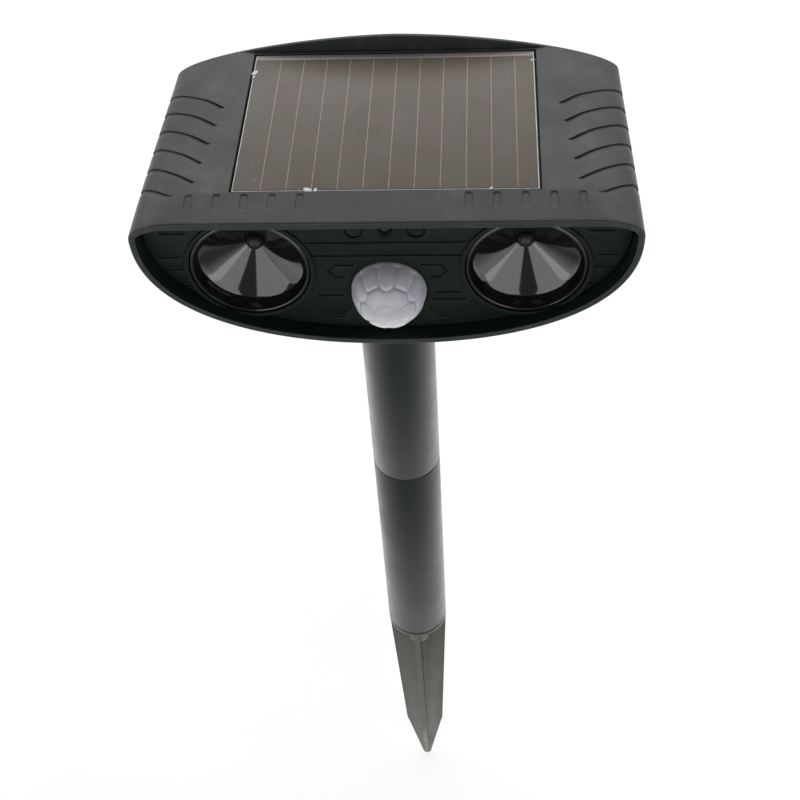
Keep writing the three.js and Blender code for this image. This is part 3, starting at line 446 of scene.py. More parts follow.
class Finish:
    """A procedural material on Object coordinates, built up layer by layer."""

    def __init__(self, name, roughness=None, metallic=0.0, ior=1.5):
        self.material = bpy.data.materials.new(name)
        self.material.use_nodes = True
        self.nodes = self.material.node_tree.nodes
        self.links = self.material.node_tree.links
        self.shader = self.nodes["Principled BSDF"]
        self.shader.inputs["Metallic"].default_value = metallic
        self.shader.inputs["IOR"].default_value = ior
        self.place = self.nodes.new("ShaderNodeTexCoord").outputs["Object"]
        self.base = None
        self.roughness = roughness
        self.height = None

    def feed(self, socket, value):
        """Sets a socket to a number or a colour, or links another node's output to it."""
        if isinstance(value, tuple):
            socket.default_value = (*value[:3], 1.0)
        elif isinstance(value, (int, float)):
            socket.default_value = value
        else:
            self.links.new(value, socket)

    def mapped(self, scale=(1, 1, 1), turn=(0, 0, 0)):
        """Object coordinates, scaled and turned."""
        node = self.nodes.new("ShaderNodeMapping")
        node.inputs["Scale"].default_value = scale
        node.inputs["Rotation"].default_value = turn
        self.links.new(self.place, node.inputs["Vector"])
        return node.outputs["Vector"]

    def noise(self, size, detail=3.0, rough=0.55, vector=None, seed=0.0):
        """Noise whose features are about size millimetres across."""
        node = self.nodes.new("ShaderNodeTexNoise")
        node.noise_dimensions = "4D"
        node.inputs["W"].default_value = seed
        node.inputs["Scale"].default_value = 1 / (size * MM)
        node.inputs["Detail"].default_value = detail
        node.inputs["Roughness"].default_value = rough
        self.links.new(vector or self.place, node.inputs["Vector"])
        return node.outputs["Fac"]

    def ramp(self, value, low, high, start=0.0, end=1.0):
        """A value stretched from low..high to start..end."""
        node = self.nodes.new("ShaderNodeMapRange")
        node.inputs["From Min"].default_value = low
        node.inputs["From Max"].default_value = high
        node.inputs["To Min"].default_value = start
        node.inputs["To Max"].default_value = end
        self.links.new(value, node.inputs["Value"])
        return node.outputs["Result"]

    def mix(self, factor, first, second):
        node = self.nodes.new("ShaderNodeMix")
        node.data_type = "RGBA"
        for place, value in ((6, first), (7, second), (0, factor)):
            self.feed(node.inputs[place], value)
        return node.outputs[2]

    def sum(self, first, second, operation="ADD"):
        """Two values added, or put together by another operation."""
        node = self.nodes.new("ShaderNodeMath")
        node.operation = operation
        self.feed(node.inputs[0], first)
        self.feed(node.inputs[1], second)
        return node.outputs[0]

    def mottle(self, size, dark, light, seed=0.0):
        """Colour that drifts between two tones over a distance."""
        shade_value = self.ramp(self.noise(size, 4.0, 0.6, seed=seed), 0.3, 0.7)
        self.base = self.mix(shade_value, dark, light)

    def stain(self, factor, colour):
        self.base = self.mix(factor, self.base, colour)

    def worn_edges(self, colour, amount=0.5, start=0.53, end=0.62):
        """Paler convex edges, broken up by fine noise."""
        geometry = self.nodes.new("ShaderNodeNewGeometry")
        edge = self.ramp(geometry.outputs["Pointiness"], start, end, 0.0, amount)
        broken = self.ramp(self.noise(1.3, 3.0, seed=7.0), 0.35, 0.6)
        self.stain(self.sum(edge, broken, "MULTIPLY"), colour)

    def rough_between(self, low, high, size, seed=0.0):
        self.roughness = self.ramp(self.noise(size, 4.0, 0.6, seed=seed), 0.3, 0.7, low, high)

    def scratches(self, size, turn, depth, seed):
        """Fine straight marks along one direction."""
        stretched = self.mapped(scale=(1, 0.03, 1), turn=turn)
        marks = self.ramp(self.noise(size, 1.0, 0.4, vector=stretched, seed=seed), 0.66, 0.74)
        self.raise_by(marks, -depth)
        return marks

    def raise_by(self, value, depth):
        scaled = self.sum(value, depth, "MULTIPLY")
        self.height = scaled if self.height is None else self.sum(self.height, scaled)

    def grain(self, size, depth, seed=0.0, detail=2.0):
        """Moulded surface texture, its depth in millimetres."""
        self.raise_by(self.noise(size, detail, seed=seed), depth)

    def finish(self):
        """Connects the layers to the shader and gives the material."""
        self.feed(self.shader.inputs["Base Color"], self.base)
        self.feed(self.shader.inputs["Roughness"], self.roughness)
        if self.height is not None:
            bump = self.nodes.new("ShaderNodeBump")
            bump.inputs["Distance"].default_value = MM
            bump.inputs["Strength"].default_value = 1.0
            self.links.new(self.height, bump.inputs["Height"])
            self.links.new(bump.outputs["Normal"], self.shader.inputs["Normal"])
        return self.material


def toned(colour, factor):
    return tuple(clamp(c * factor) for c in colour[:3])


def shell_plastic():
    """Matt dark green moulding of the housing, with a fine spark texture."""
    colour = linear(tuple(bpy.context.scene.repeller_housing.shell_colour))
    made = Finish("shell_plastic")
    made.mottle(38, toned(colour, 0.9), toned(colour, 1.1))
    made.worn_edges(toned(colour, 2.4), 0.35)
    dust = made.ramp(made.noise(9, 6.0, 0.7, seed=3.0), 0.52, 0.8, 0.0, 0.12)
    made.stain(dust, linear((0.62, 0.62, 0.58)))
    made.rough_between(0.47, 0.6, 14, seed=2.0)
    made.grain(0.34, 0.012)
    made.grain(0.9, 0.012, seed=5.0)
    made.scratches(2.2, (0, 0, 0.6), 0.006, 4.0)
    return made.finish()


def panel_plastic():
    """Darker green moulding of the front panel and the rear cover; on the housing's inside it also serves as
    painted shade.
    """
    colour = linear(tuple(bpy.context.scene.repeller_panel.panel_colour))
    made = Finish("panel_plastic")
    made.shader.inputs["Specular IOR Level"].default_value = 0.2
    made.mottle(22, toned(colour, 0.88), toned(colour, 1.12), seed=1.0)
    made.worn_edges(toned(colour, 3.0), 0.4)
    made.rough_between(0.42, 0.56, 9, seed=6.0)
    made.grain(0.3, 0.01)
    made.grain(1.1, 0.01, seed=8.0)
    return made.finish()


def pole_plastic(name="pole_plastic", key="pole_colour"):
    """Satin green of the tubes, the socket and, paler, the spike."""
    colour = linear(tuple(getattr(bpy.context.scene.repeller_pole, key)))
    made = Finish(name)
    made.mottle(30, toned(colour, 0.9), toned(colour, 1.12), seed=4.0)
    made.worn_edges(toned(colour, 2.4), 0.35)
    made.rough_between(0.3, 0.42, 12, seed=9.0)
    made.grain(0.5, 0.006)
    drawn = made.mapped(scale=(1, 1, 0.02))
    made.raise_by(made.noise(0.8, 2.0, vector=drawn, seed=2.0), 0.008)
    made.scratches(3.0, (1.57, 0, 0), 0.006, 11.0)
    return made.finish()


def gloss_black():
    """Polished black of the horns, with light dust and faint polishing marks."""
    made = Finish("gloss_black", ior=1.52)
    made.shader.inputs["Specular IOR Level"].default_value = 0.75
    made.mottle(12, linear((0.06, 0.06, 0.065)), linear((0.09, 0.09, 0.095)))
    made.rough_between(0.05, 0.1, 5, seed=3.0)
    specks = made.ramp(made.noise(0.45, 2.0, 0.5, seed=12.0), 0.7, 0.76, 0.0, 0.35)
    made.stain(specks, linear((0.4, 0.4, 0.4)))
    made.grain(4.0, 0.002)
    return made.finish()


def matt_black(name="matt_black", tone=0.085, roughness=0.5):
    """Dull black of the knobs, domes, switch and foam."""
    made = Finish(name)
    made.mottle(7, linear((tone * 0.9,) * 3), linear((tone * 1.15,) * 3), seed=2.0)
    made.worn_edges(linear((0.3, 0.3, 0.3)), 0.3)
    made.rough_between(roughness - 0.06, roughness + 0.1, 4, seed=1.0)
    made.grain(0.3, 0.012)
    return made.finish()


def plain(name, tones, roughness, grain):
    """A plain surface from mottle()'s, rough_between()'s and grain()'s own numbers, tones in sRGB."""
    size, dark, light, seed = tones
    made = Finish(name)
    made.mottle(size, linear(dark), linear(light), seed)
    made.rough_between(*roughness)
    made.grain(*grain)
    return made.finish()


def lens_plastic():
    """Milky translucent lens plastic with fine moulded lines, and painted light that makes its lower part
    paler.
    """
    made = Finish("lens_plastic", ior=1.49)
    made.mottle(6, linear((0.66, 0.66, 0.70)), linear((0.75, 0.75, 0.775)), seed=2.0)
    # Painted light: below the lens's middle the colour is stained paler, standing in for light thrown up from
    # the floor onto its lower part.
    split = made.nodes.new("ShaderNodeSeparateXYZ")
    made.links.new(made.place, split.inputs[0])
    middle = (HEAD_Z + LENS_Z) * MM
    low = made.ramp(split.outputs["Z"], middle - 0.010, middle + 0.001, 1.0, 0.0)
    made.stain(low, linear((0.90, 0.90, 0.91)))
    made.shader.inputs["Subsurface Weight"].default_value = 0.35
    made.shader.inputs["Subsurface Scale"].default_value = 1.0
    made.shader.inputs["Subsurface Radius"].default_value = (0.0016, 0.0015, 0.0017)
    made.rough_between(0.28, 0.42, 3, seed=5.0)
    made.grain(0.35, 0.004)
    return made.finish()


def solar_film():
    """Brown-grey cell under clear resin."""
    made = Finish("solar_film", ior=1.45)
    made.mottle(26, linear((0.33, 0.30, 0.26)), linear((0.36, 0.33, 0.29)), seed=6.0)
    banded = made.mapped(scale=(1, 0.08, 1))
    streak = made.ramp(made.noise(3.5, 3.0, vector=banded, seed=3.0), 0.45, 0.75, 0.0, 0.2)
    made.stain(streak, linear((0.385, 0.34, 0.31)))
    dust = made.ramp(made.noise(0.5, 1.0, 0.4, seed=21.0), 0.735, 0.76, 0.0, 0.8)
    made.stain(dust, linear((0.75, 0.73, 0.72)))
    made.shader.inputs["Specular IOR Level"].default_value = 0.3
    made.shader.inputs["Coat Weight"].default_value = 0.12
    made.shader.inputs["Coat Roughness"].default_value = 0.25
    made.rough_between(0.42, 0.56, 11, seed=8.0)
    made.scratches(1.6, (0, 0, 0.9), 0.01, 14.0)
    made.grain(1.8, 0.01, seed=4.0)
    return made.finish()


def metal(name, colour, roughness):
    """Brushed metal with a little tarnish."""
    made = Finish(name, metallic=1.0)
    made.mottle(3, linear(toned(colour, 0.86)), linear(colour), seed=3.0)
    made.rough_between(roughness - 0.06, roughness + 0.12, 1.5, seed=2.0)
    brushed = made.mapped(scale=(1, 1, 0.05))
    made.raise_by(made.noise(0.4, 2.0, vector=brushed, seed=6.0), 0.01)
    tarnish = made.ramp(made.noise(2.2, 4.0, seed=5.0), 0.58, 0.75, 0.0, 0.4)
    made.stain(tarnish, linear(toned(colour, 0.55)))
    return made.finish()


def circuit_resist():
    """Green solder resist with the tracks under it."""
    made = Finish("circuit_resist")
    made.mottle(9, linear((0.07, 0.28, 0.15)), linear((0.12, 0.40, 0.23)), seed=4.0)
    tracks = made.nodes.new("ShaderNodeTexBrick")
    tracks.inputs["Scale"].default_value = 260
    tracks.inputs["Mortar Size"].default_value = 0.03
    tracks.inputs["Color1"].default_value = (0, 0, 0, 1)
    tracks.inputs["Color2"].default_value = (0.3, 0.3, 0.3, 1)
    tracks.inputs["Mortar"].default_value = (1, 1, 1, 1)
    made.links.new(made.mapped(turn=(1.5708, 0, 0)), tracks.inputs["Vector"])
    made.stain(made.ramp(tracks.outputs["Color"], 0.2, 1.0, 0.0, 0.5), linear((0.20, 0.52, 0.30)))
    made.raise_by(tracks.outputs["Color"], 0.02)
    made.rough_between(0.32, 0.5, 4, seed=2.0)
    return made.finish()


def coloured_sleeve(name, colour, roughness=0.45):
    """Smooth coloured plastic of leads, cell wraps and the lamp."""
    tones = (5, toned(colour, 0.85), toned(colour, 1.1), 6.0)
    return plain(name, tones, (roughness - 0.08, roughness + 0.1, 3, 7.0), (0.5, 0.01))


FINISHES = {
    "shell": shell_plastic,
    "panel": panel_plastic,
    "pole": pole_plastic,
    "spike": lambda: pole_plastic("spike_plastic", "spike_colour"),
    "horn": gloss_black,
    "black": matt_black,
    "rubber": lambda: plain("rubber_black", (5, (0.07,) * 3, (0.12,) * 3, 5.0),
                            (0.7, 0.9, 3, 4.0), (0.25, 0.02)),
    "lens": lens_plastic,
    "solar_film": solar_film,
    "solar_strip": lambda: plain("solar_strip", (8, (0.45, 0.40, 0.41), (0.49, 0.45, 0.44), 3.0),
                                 (0.28, 0.42, 6, 2.0), (0.8, 0.006)),
    "solar_line": lambda: plain("solar_line", (3, (0.50, 0.39, 0.35), (0.62, 0.50, 0.46), 9.0),
                                (0.35, 0.5, 2, 2.0), (0.3, 0.006)),
    "board_white": lambda: plain("board_white", (4, (0.72,) * 3, (0.86,) * 3, 8.0),
                                 (0.4, 0.6, 2, 1.0), (0.4, 0.01)),
    "steel": lambda: metal("steel_plate", (0.70, 0.71, 0.72), 0.32),
    "copper": lambda: metal("copper_wire", (0.72, 0.42, 0.28), 0.38),
    "circuit": circuit_resist,
    "foam": lambda: matt_black("foam_black", 0.10, 0.85),
    "lamp": lambda: coloured_sleeve("lamp_smoke", (0.16, 0.15, 0.15), 0.15),
    "cell_wrap": lambda: coloured_sleeve("cell_sleeve", (0.20, 0.42, 0.60)),
    "lead": lambda: coloured_sleeve("lead_sleeve", (0.60, 0.12, 0.12)),
}


def finish_named(name):
    label = "finish:" + name
    if label not in bpy.data.materials:
        FINISHES[name]().name = label
    return bpy.data.materials[label]


# ---------------------------------------------------------------- the housing's form
def depth_share(y):
    return clamp(y / HEAD_DEPTH)


def half_width(y):
    return lerp(HEAD_WIDTH, REAR_WIDTH, depth_share(y)) / 2


def low_reach(y):
    return lerp(RIM_BOTTOM, REAR_BOTTOM, depth_share(y))


def crown(y):
    return FRONT_CROWN + (REAR_CROWN - FRONT_CROWN) * depth_share(y) ** CROWN_RISE


def top_power(y):
    return lerp(FRONT_POWER, REAR_POWER, depth_share(y))


def arch(x, y, inset):
    """Height of the uncut upper form above a point."""
    share = clamp(abs(x) / (half_width(y) - inset))
    power = top_power(y)
    return (crown(y) - inset) * (1 - share ** power) ** (1 / power)


SLOT_COLUMNS = (-1.4, -1.22, -1.16, -1.1, -1.04, -0.98, -0.6, 0, 0.6, 0.98, 1.04, 1.1, 1.16, 1.22, 1.4)
FLAT_REACH = 60.0  # the columns are straight up to here and follow the section beyond
SIDE_COLUMNS = 26
LOW_COLUMNS = 120


def flat_columns():
    """x of the straight columns: evenly spaced, and closer at the slots and the solar panel's seat."""
    places = [3.0 * i for i in range(-20, 21)]
    places += [side * (50.5 + 0.7 * i) for i in range(14) for side in (-1, 1)]
    for centre in SLOT_CENTRES:
        for side in (-1, 1):
            places += [side * centre + step for step in SLOT_COLUMNS]
    edge = SOLAR_HALF + SOLAR_CLEAR
    steps = (-0.5, -0.02, 0, 0.03, 0.1, 0.2, 0.32, 0.6)
    places += [side * (edge + step) for step in steps for side in (-1, 1)]
    kept = []
    for x in sorted(places):
        if abs(x) <= FLAT_REACH and (not kept or x - kept[-1] > 0.019):
            kept.append(x)
    return kept


def columns():
    """Every column round the housing's section, from the left of the top round to the left again."""
    made = [("flat", x) for x in flat_columns()]
    made += [("side", 1, i / SIDE_COLUMNS) for i in range(1, SIDE_COLUMNS)]
    made += [("low", -math.pi * i / LOW_COLUMNS) for i in range(LOW_COLUMNS + 1)]
    made += [("side", -1, 1 - i / SIDE_COLUMNS) for i in range(1, SIDE_COLUMNS)]
    return made


def superellipse(turn, wide, high, power):
    """(x, z) on a superellipse at an angle."""
    c, s = math.cos(turn), math.sin(turn)
    x = math.copysign(wide * abs(c) ** (2 / power), c)
    z = math.copysign(high * abs(s) ** (2 / power), s)
    return x, z


def column_point(column, y, inset):
    """(x, z) of a column on the form pulled in by inset, before anything is cut."""
    wide = half_width(y) - inset
    if column[0] == "flat":
        return column[1], arch(column[1], y, inset)
    if column[0] == "side":
        power = top_power(y)
        start = math.acos(clamp((FLAT_REACH / wide) ** (power / 2)))
        x, z = superellipse(start * (1 - column[2]) ** 1.5, wide, crown(y) - inset, power)
        return column[1] * x, z
    return superellipse(column[1], wide, low_reach(y) - inset, LOW_POWER)


def groove_shift(i, x):
    """Distance back of groove i's centre line at x, level before the groove starts."""
    start_x, start_y = GROOVE_STARTS[i]
    return start_y + math.tan(GROOVE_LEAN) * max(0.0, abs(x) - start_x)


BAND = 2.4  # rows within this distance of a groove's line move with it
RIM_WALL = 2.0  # the wall thins towards both open ends
WALL_LINE = 0.55  # a groove's steep rear wall stands this far behind its centre line


def row_place(base, x):
    """Where the row that is at depth base on the middle runs at x, so that rows follow the grooves."""
    marks = [(0.0, 0.0), (0.6, 0.6)]
    for i, start in enumerate(GROOVE_STARTS):
        for step in (-BAND, BAND):
            marks.append((start[1] + step, groove_shift(i, x) + step))
    marks += [(82.0, 82.0), (HEAD_DEPTH, HEAD_DEPTH)]
    for (b0, y0), (b1, y1) in zip(marks, marks[1:]):
        if base <= b1:
            return lerp(y0, y1, (base - b0) / (b1 - b0))
    return base


def groove_depth(x, y, z, settings):
    """How far the grooves sink a point of the skin."""
    cos, sin = math.cos(GROOVE_LEAN), math.sin(GROOVE_LEAN)
    depth = 0.0
    half = settings.groove_width / 2
    for start_x, start_y in GROOVE_STARTS:
        along = (abs(x) - start_x) * cos + (y - start_y) * sin
        across = -(abs(x) - start_x) * sin + (y - start_y) * cos
        if abs(across) > half + 1.0 or along < -1.5:
            continue
        front = clamp((across - WALL_LINE + settings.groove_width) / (settings.groove_width - 0.2))
        rear = 1 - ease(WALL_LINE - 0.14, WALL_LINE, across)
        depth = max(depth, settings.groove_depth * min(front, rear) * ease(-1.3, 0.9, along))
    return depth * ease(GROOVE_LOW, GROOVE_LOW + 3, z)


def slot_depth(x, y):
    """How far the vent slots in the sloping strip sink a point of the skin."""
    nearest = min(abs(abs(x) - centre) for centre in SLOT_CENTRES)
    middle_y = clamp(y, SLOT_FRONT + SLOT_HALF, SLOT_BACK - SLOT_HALF)
    off = math.hypot(nearest, y - middle_y) - SLOT_HALF
    return SLOT_DEPTH * (1 - ease(-0.2, 0.0, off))


def edge_round(distance, radius):
    """Drop of a rounded edge at a distance from it."""
    if distance >= radius:
        return 0.0
    reach = radius - max(0.0, distance)
    return radius - math.sqrt(max(0.0, radius * radius - reach * reach))


def ramp_height(y):
    return lerp(RIM_TOP, DECK, clamp(y / DECK_START))


def skin_point(column, base, inset, settings):
    """A point of the housing's outer skin."""
    y = base
    for _ in range(3):
        x, z = column_point(column, y, 0.0)
        y = row_place(base, x)
    sunk = groove_depth(x, y, z, settings) if 5 < y < 83 else 0.0
    x, z = column_point(column, y, inset + sunk)
    if column[0] == "low":
        return x, y, z
    level = ramp_height(y) - inset - sunk
    behind = y - (HEAD_DEPTH - REAR_LIP)
    if behind < -1e-6:
        z = soft_min(z, level, 0.7)
    elif z > level:
        z = max(level, z - edge_round(behind, 0.35))
    if SLOT_FRONT - 1 < y < SLOT_BACK + 1 and column[0] == "flat":
        z -= slot_depth(x, y)
    side = abs(x) - (SOLAR_HALF + SOLAR_CLEAR)
    front = (SOLAR_START - SOLAR_CLEAR) - y
    back = y - (SOLAR_BACK + SOLAR_CLEAR)
    off = max(side, front, back)
    if off < -0.01:
        z = SOLAR_SEAT
    elif off < 0.3 and behind < 0:
        z -= edge_round(off, 0.3)
    return x, y, z


def inner_point(column, y, inset):
    x, z = column_point(column, y, inset)
    return x, y, min(z, CEILING + WALL - inset)


GROOVE_ROWS = (-2.85, -2.6, -2.0, -1.4, -0.8, -0.35, -0.2, -0.15, -0.1, -0.06, -0.02, 0.02, 0.1, 0.35)


def outer_rows():
    """Depths of the outer skin's rows with the inset that rounds the rim at each."""
    rim = RIM_ROUND
    rows = [(y, inset) for inset, y in rounding(rim, (0, 0.4, 0.8, 1.2))]
    depths = [1.2, 2.4, 3.6, 4.6, 7.6, 8.4]
    depths += [SLOT_FRONT + s for s in (-0.15, 0, 0.1, 0.25, 0.5, 0.9, 1.3)]
    depths += [SLOT_BACK - s for s in (-0.1, 0, 0.15, 0.35, 0.7, 1.1)]
    depths += [DECK_START - 0.12, DECK_START, DECK_START + 0.1]
    start, back = SOLAR_START - SOLAR_CLEAR, SOLAR_BACK + SOLAR_CLEAR
    depths += [start + s for s in (-0.05, -0.001, 0.02, 0.6)]
    depths += [back + s for s in (-0.5, -0.02, 0.001, 0.05, 0.15, 0.3)]
    wall = HEAD_DEPTH - REAR_LIP
    depths += [wall + s for s in (-0.2, -0.002, 0, 0.03, 0.1, 0.2, 0.35, 0.7)]
    for _, start_y in GROOVE_STARTS:
        steep = WALL_LINE / math.cos(GROOVE_LEAN)
        depths += [start_y + steep + s for s in GROOVE_ROWS]
        depths += [start_y + s for s in (3.1, 4.5, 5.9)]
    depths += [62.5, 66, 69.5, 73, 76.5, 79.5]
    kept = []
    for y in sorted(depths):
        if rim < y < HEAD_DEPTH - rim and (not kept or y - kept[-1] > 0.0015):
            kept.append(y)
    rows += [(y, 0.0) for y in kept]
    rows += [(HEAD_DEPTH - y, inset) for y, inset in reversed(rows[:5])]
    return rows


def housing_rings(settings):
    """Closed run of rings: over the outer skin from the front to the back, and inside back to the front."""
    around = columns()
    rings = [[skin_point(c, y, inset, settings) for c in around] for y, inset in outer_rows()]
    inner = [(y, RIM_WALL - drop) for drop, y in rounding(EDGE, (0, 0.5, 1.0))]
    depths = [(HEAD_DEPTH - y, inset) for y, inset in inner]
    depths += [(6.0 * i, WALL) for i in range(13, 0, -1)]
    depths += [(4.4, WALL), (2.0, lerp(RIM_WALL, WALL, 0.4))]
    depths += [(y, inset) for y, inset in reversed(inner)]
    return rings + [[inner_point(c, y, inset) for c in around] for y, inset in depths]


def screw_lug(x, z, y0, y1):
    """Screw post with its web to the wall or the floor, kept inside the wall."""
    web = LUG_RADIUS * 0.7
    post = rod("lug", LUG_RADIUS, y0, y1, x, z, 32)
    if abs(x) > HEAD_WIDTH / 3:
        reach = math.copysign(half_width(y0) - 2.2, x)
        span = (min(x, reach), max(x, reach))
        bar = block("web", span, (y0 + 0.1, y1 - 0.1), (z - web, z + web))
    else:
        drop = -low_reach(y0) * (1 - (abs(x) / half_width(y0)) ** LOW_POWER) ** (1 / LOW_POWER) + 1.6
        bar = block("web", (x - web, x + web), (y0 + 0.1, y1 - 0.1), (drop, z))
    return [post, bar]


def build_housing(settings):
    """The housing, its screw posts and the hole for the socket; its inside takes the second, darker finish as
    painted shade under the deck.
    """
    housing = rings_object("housing_shell", housing_rings(settings), closed=True)
    lugs = []
    for x, z in FRONT_SCREWS:
        lugs += screw_lug(x, z, PANEL_FACE + PLATE + GAP, PANEL_FACE + PLATE + GAP + FRONT_LUG)
    for x, z in REAR_SCREWS:
        lugs += screw_lug(x, z, COVER_INSIDE - GAP - REAR_LUG, COVER_INSIDE - GAP)
    combine(housing, lugs, "UNION")
    socket = socket_radius() + GAP
    hole = lathe("hole", [(socket, -60), (socket, -20)], "Z", (0, POLE_Y), HEAD, 96)
    combine(housing, [hole], "DIFFERENCE")
    settle(housing, "head", "shell panel", ["main_housing"], 32)
    # Painted shade: the inward faces under the ceiling take the darker panel finish, standing in for the
    # shadow that the deck throws inside the rim.
    for face in housing.data.polygons:
        at = face.center / MM - HEAD
        facing_in = face.normal.x * at.x + face.normal.z * at.z < 0
        if facing_in and at.z < CEILING + 0.5 and at.y > 0.35:
            face.material_index = 1


def socket_radius():
    return TUBE_RADIUS + GAP + socket_wall()


def socket_wall():
    """The socket's wall, from its own roof thickness over the tube's top."""
    tube_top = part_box("upper_tube")[1][2] / MM
    socket_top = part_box("pole_socket")[1][2] / MM
    return socket_top - tube_top - GAP


# ---------------------------------------------------------------- front panel
def plate_ring(y, inset, points=240):
    """Outline of a plate that fills the housing's hollow with clearance."""
    ring = []
    for i in range(points):
        turn = 2 * math.pi * i / points
        total = WALL + GAP + inset
        wide = half_width(y) - total
        if turn <= math.pi:
            x, z = superellipse(turn, wide, crown(y) - total, top_power(y))
            z = soft_min(z, CEILING - GAP - inset, 0.5)
        else:
            x, z = superellipse(turn, wide, low_reach(y) - total, LOW_POWER)
        ring.append((x, z))
    return ring


def plate(name, front, back):
    """Plate with a rounded edge on its outer face; front is that face's depth."""
    towards = 1 if back > front else -1
    middle = (front + back) / 2
    steps = [(front + towards * drop, inset) for inset, drop in rounding(EDGE, (0, 0.55, 1.1))]
    rings = [[(x, y, z) for x, z in plate_ring(middle, inset)] for y, inset in steps]
    rings.append([(x, back, z) for x, z in plate_ring(middle, 0.0)])
    return rings_object(name, rings)


CIRCUIT_LINES = [
    [(-23.6, -3.8), (23.6, -3.8)],
    [(-21.8, -9.0), (21.8, -9.0)],
    [(14.4, -24.2), (21.5, -24.2)],
    [(13.6, -27.2), (23.0, -27.2)],
    [(-14.4, -25.4), (-21.5, -25.4)],
]
MIRRORED_LINES = [
    [(10.5, -12.9), (15.8, -12.9), (17.9, -15.3), (15.7, -17.7), (13.4, -17.7)],
    [(12.4, -31.0), (14.8, -34.6), (18.2, -34.6)],
    [(59.6, 0.2), (66.6, 0.2)],
    [(62.6, -9.2), (68.4, -9.2)],
    [(62.4, -14.2), (67.6, -14.2)],
    [(60.2, -21.0), (63.4, -21.0)],
]


def circuit_lines():
    lines = list(CIRCUIT_LINES)
    for line in MIRRORED_LINES:
        lines.append(line)
        lines.append([(-x, z) for x, z in line])
    return lines


def stroke(name, points, width, y0, y1):
    """A bent bar with mitred corners and round-cornered ends along (x, z) points."""
    points = [Vector(p) for p in points]
    left, right = [], []
    for i, point in enumerate(points):
        before = (point - points[i - 1]).normalized() if i else None
        after = (points[i + 1] - point).normalized() if i + 1 < len(points) else None
        along = ((before or after) + (after or before)).normalized()
        normal = Vector((-along.y, along.x))
        side = Vector((-(before or after).y, (before or after).x))
        reach = width / 2 / max(0.5, normal.dot(side))
        if before is None or after is None:
            end = along * (-1 if before is None else 1)
            near, far = point + end * width * 0.3, point + end * width * 0.5
            pair = [(near, 0.5), (far, 0.25)] if after is None else [(far, 0.25), (near, 0.5)]
            for spot, share in pair:
                left.append(spot + normal * width * share)
                right.append(spot - normal * width * share)
        else:
            left.append(point + normal * reach)
            right.append(point - normal * reach)
    outline = [(p.x, p.y) for p in left + right[::-1]]
    return prism(name, outline, y0, y1)


def build_front_panel():
    """The plate with its openings, lamp groove and lines cut, and the speaker lips joined on."""
    panel = plate("front_plate", PANEL_FACE, PANEL_FACE + PLATE)
    before, behind = PANEL_FACE - 4, PANEL_FACE + PLATE + 4
    cuts, rings = [], []
    outer = SPEAKER_HOLE + LIP_WIDTH
    for side in (-1, 1):
        x = side * SPEAKER_X
        cuts.append(rod("hole", outer - 0.5, before, behind, x, SPEAKER_Z, 128))
        face, arc = PANEL_FACE - LIP_HEIGHT, rounding(LIP_ROUND, (0, 0.5, 1.05))
        profile = [(SPEAKER_HOLE, PANEL_FACE + COLLAR)]
        profile += [(SPEAKER_HOLE + inset, face + drop) for drop, inset in arc]
        profile += [(outer - inset, face + drop) for drop, inset in reversed(arc)]
        profile += [(outer, PANEL_FACE + COLLAR)]
        rings.append(lathe("ring", profile, "Y", (x, SPEAKER_Z), segments=128, closed=True))
        inner, wide, deep = LAMP_RING
        profile = [(inner, before), (wide, before), (wide, PANEL_FACE + deep), (inner, PANEL_FACE + deep)]
        cuts.append(lathe("groove", profile, "Y", (side * LAMP_SPACING, LAMP_Z), segments=40, closed=True))
    sink = [(LAMP_SINK + 0.9, PANEL_FACE - 1), (LAMP_HOLE, PANEL_FACE + 1.3), (LAMP_HOLE, behind)]
    cuts.append(lathe("sink", sink, "Y", (0, LAMP_Z), segments=48))
    cuts.append(rod("hole", LENS_RADIUS + GAP, before, behind, 0, LENS_Z, 96))
    for line in circuit_lines():
        cuts.append(stroke("line", line, LINE_WIDTH, PANEL_FACE - 1, PANEL_FACE + LINE_DEPTH))
    combine(panel, cuts, "DIFFERENCE")
    combine(panel, rings, "UNION")
    soften(panel, 0.13, 2, 35)
    settle(panel, "head", "panel", ["front_panel"], 28)


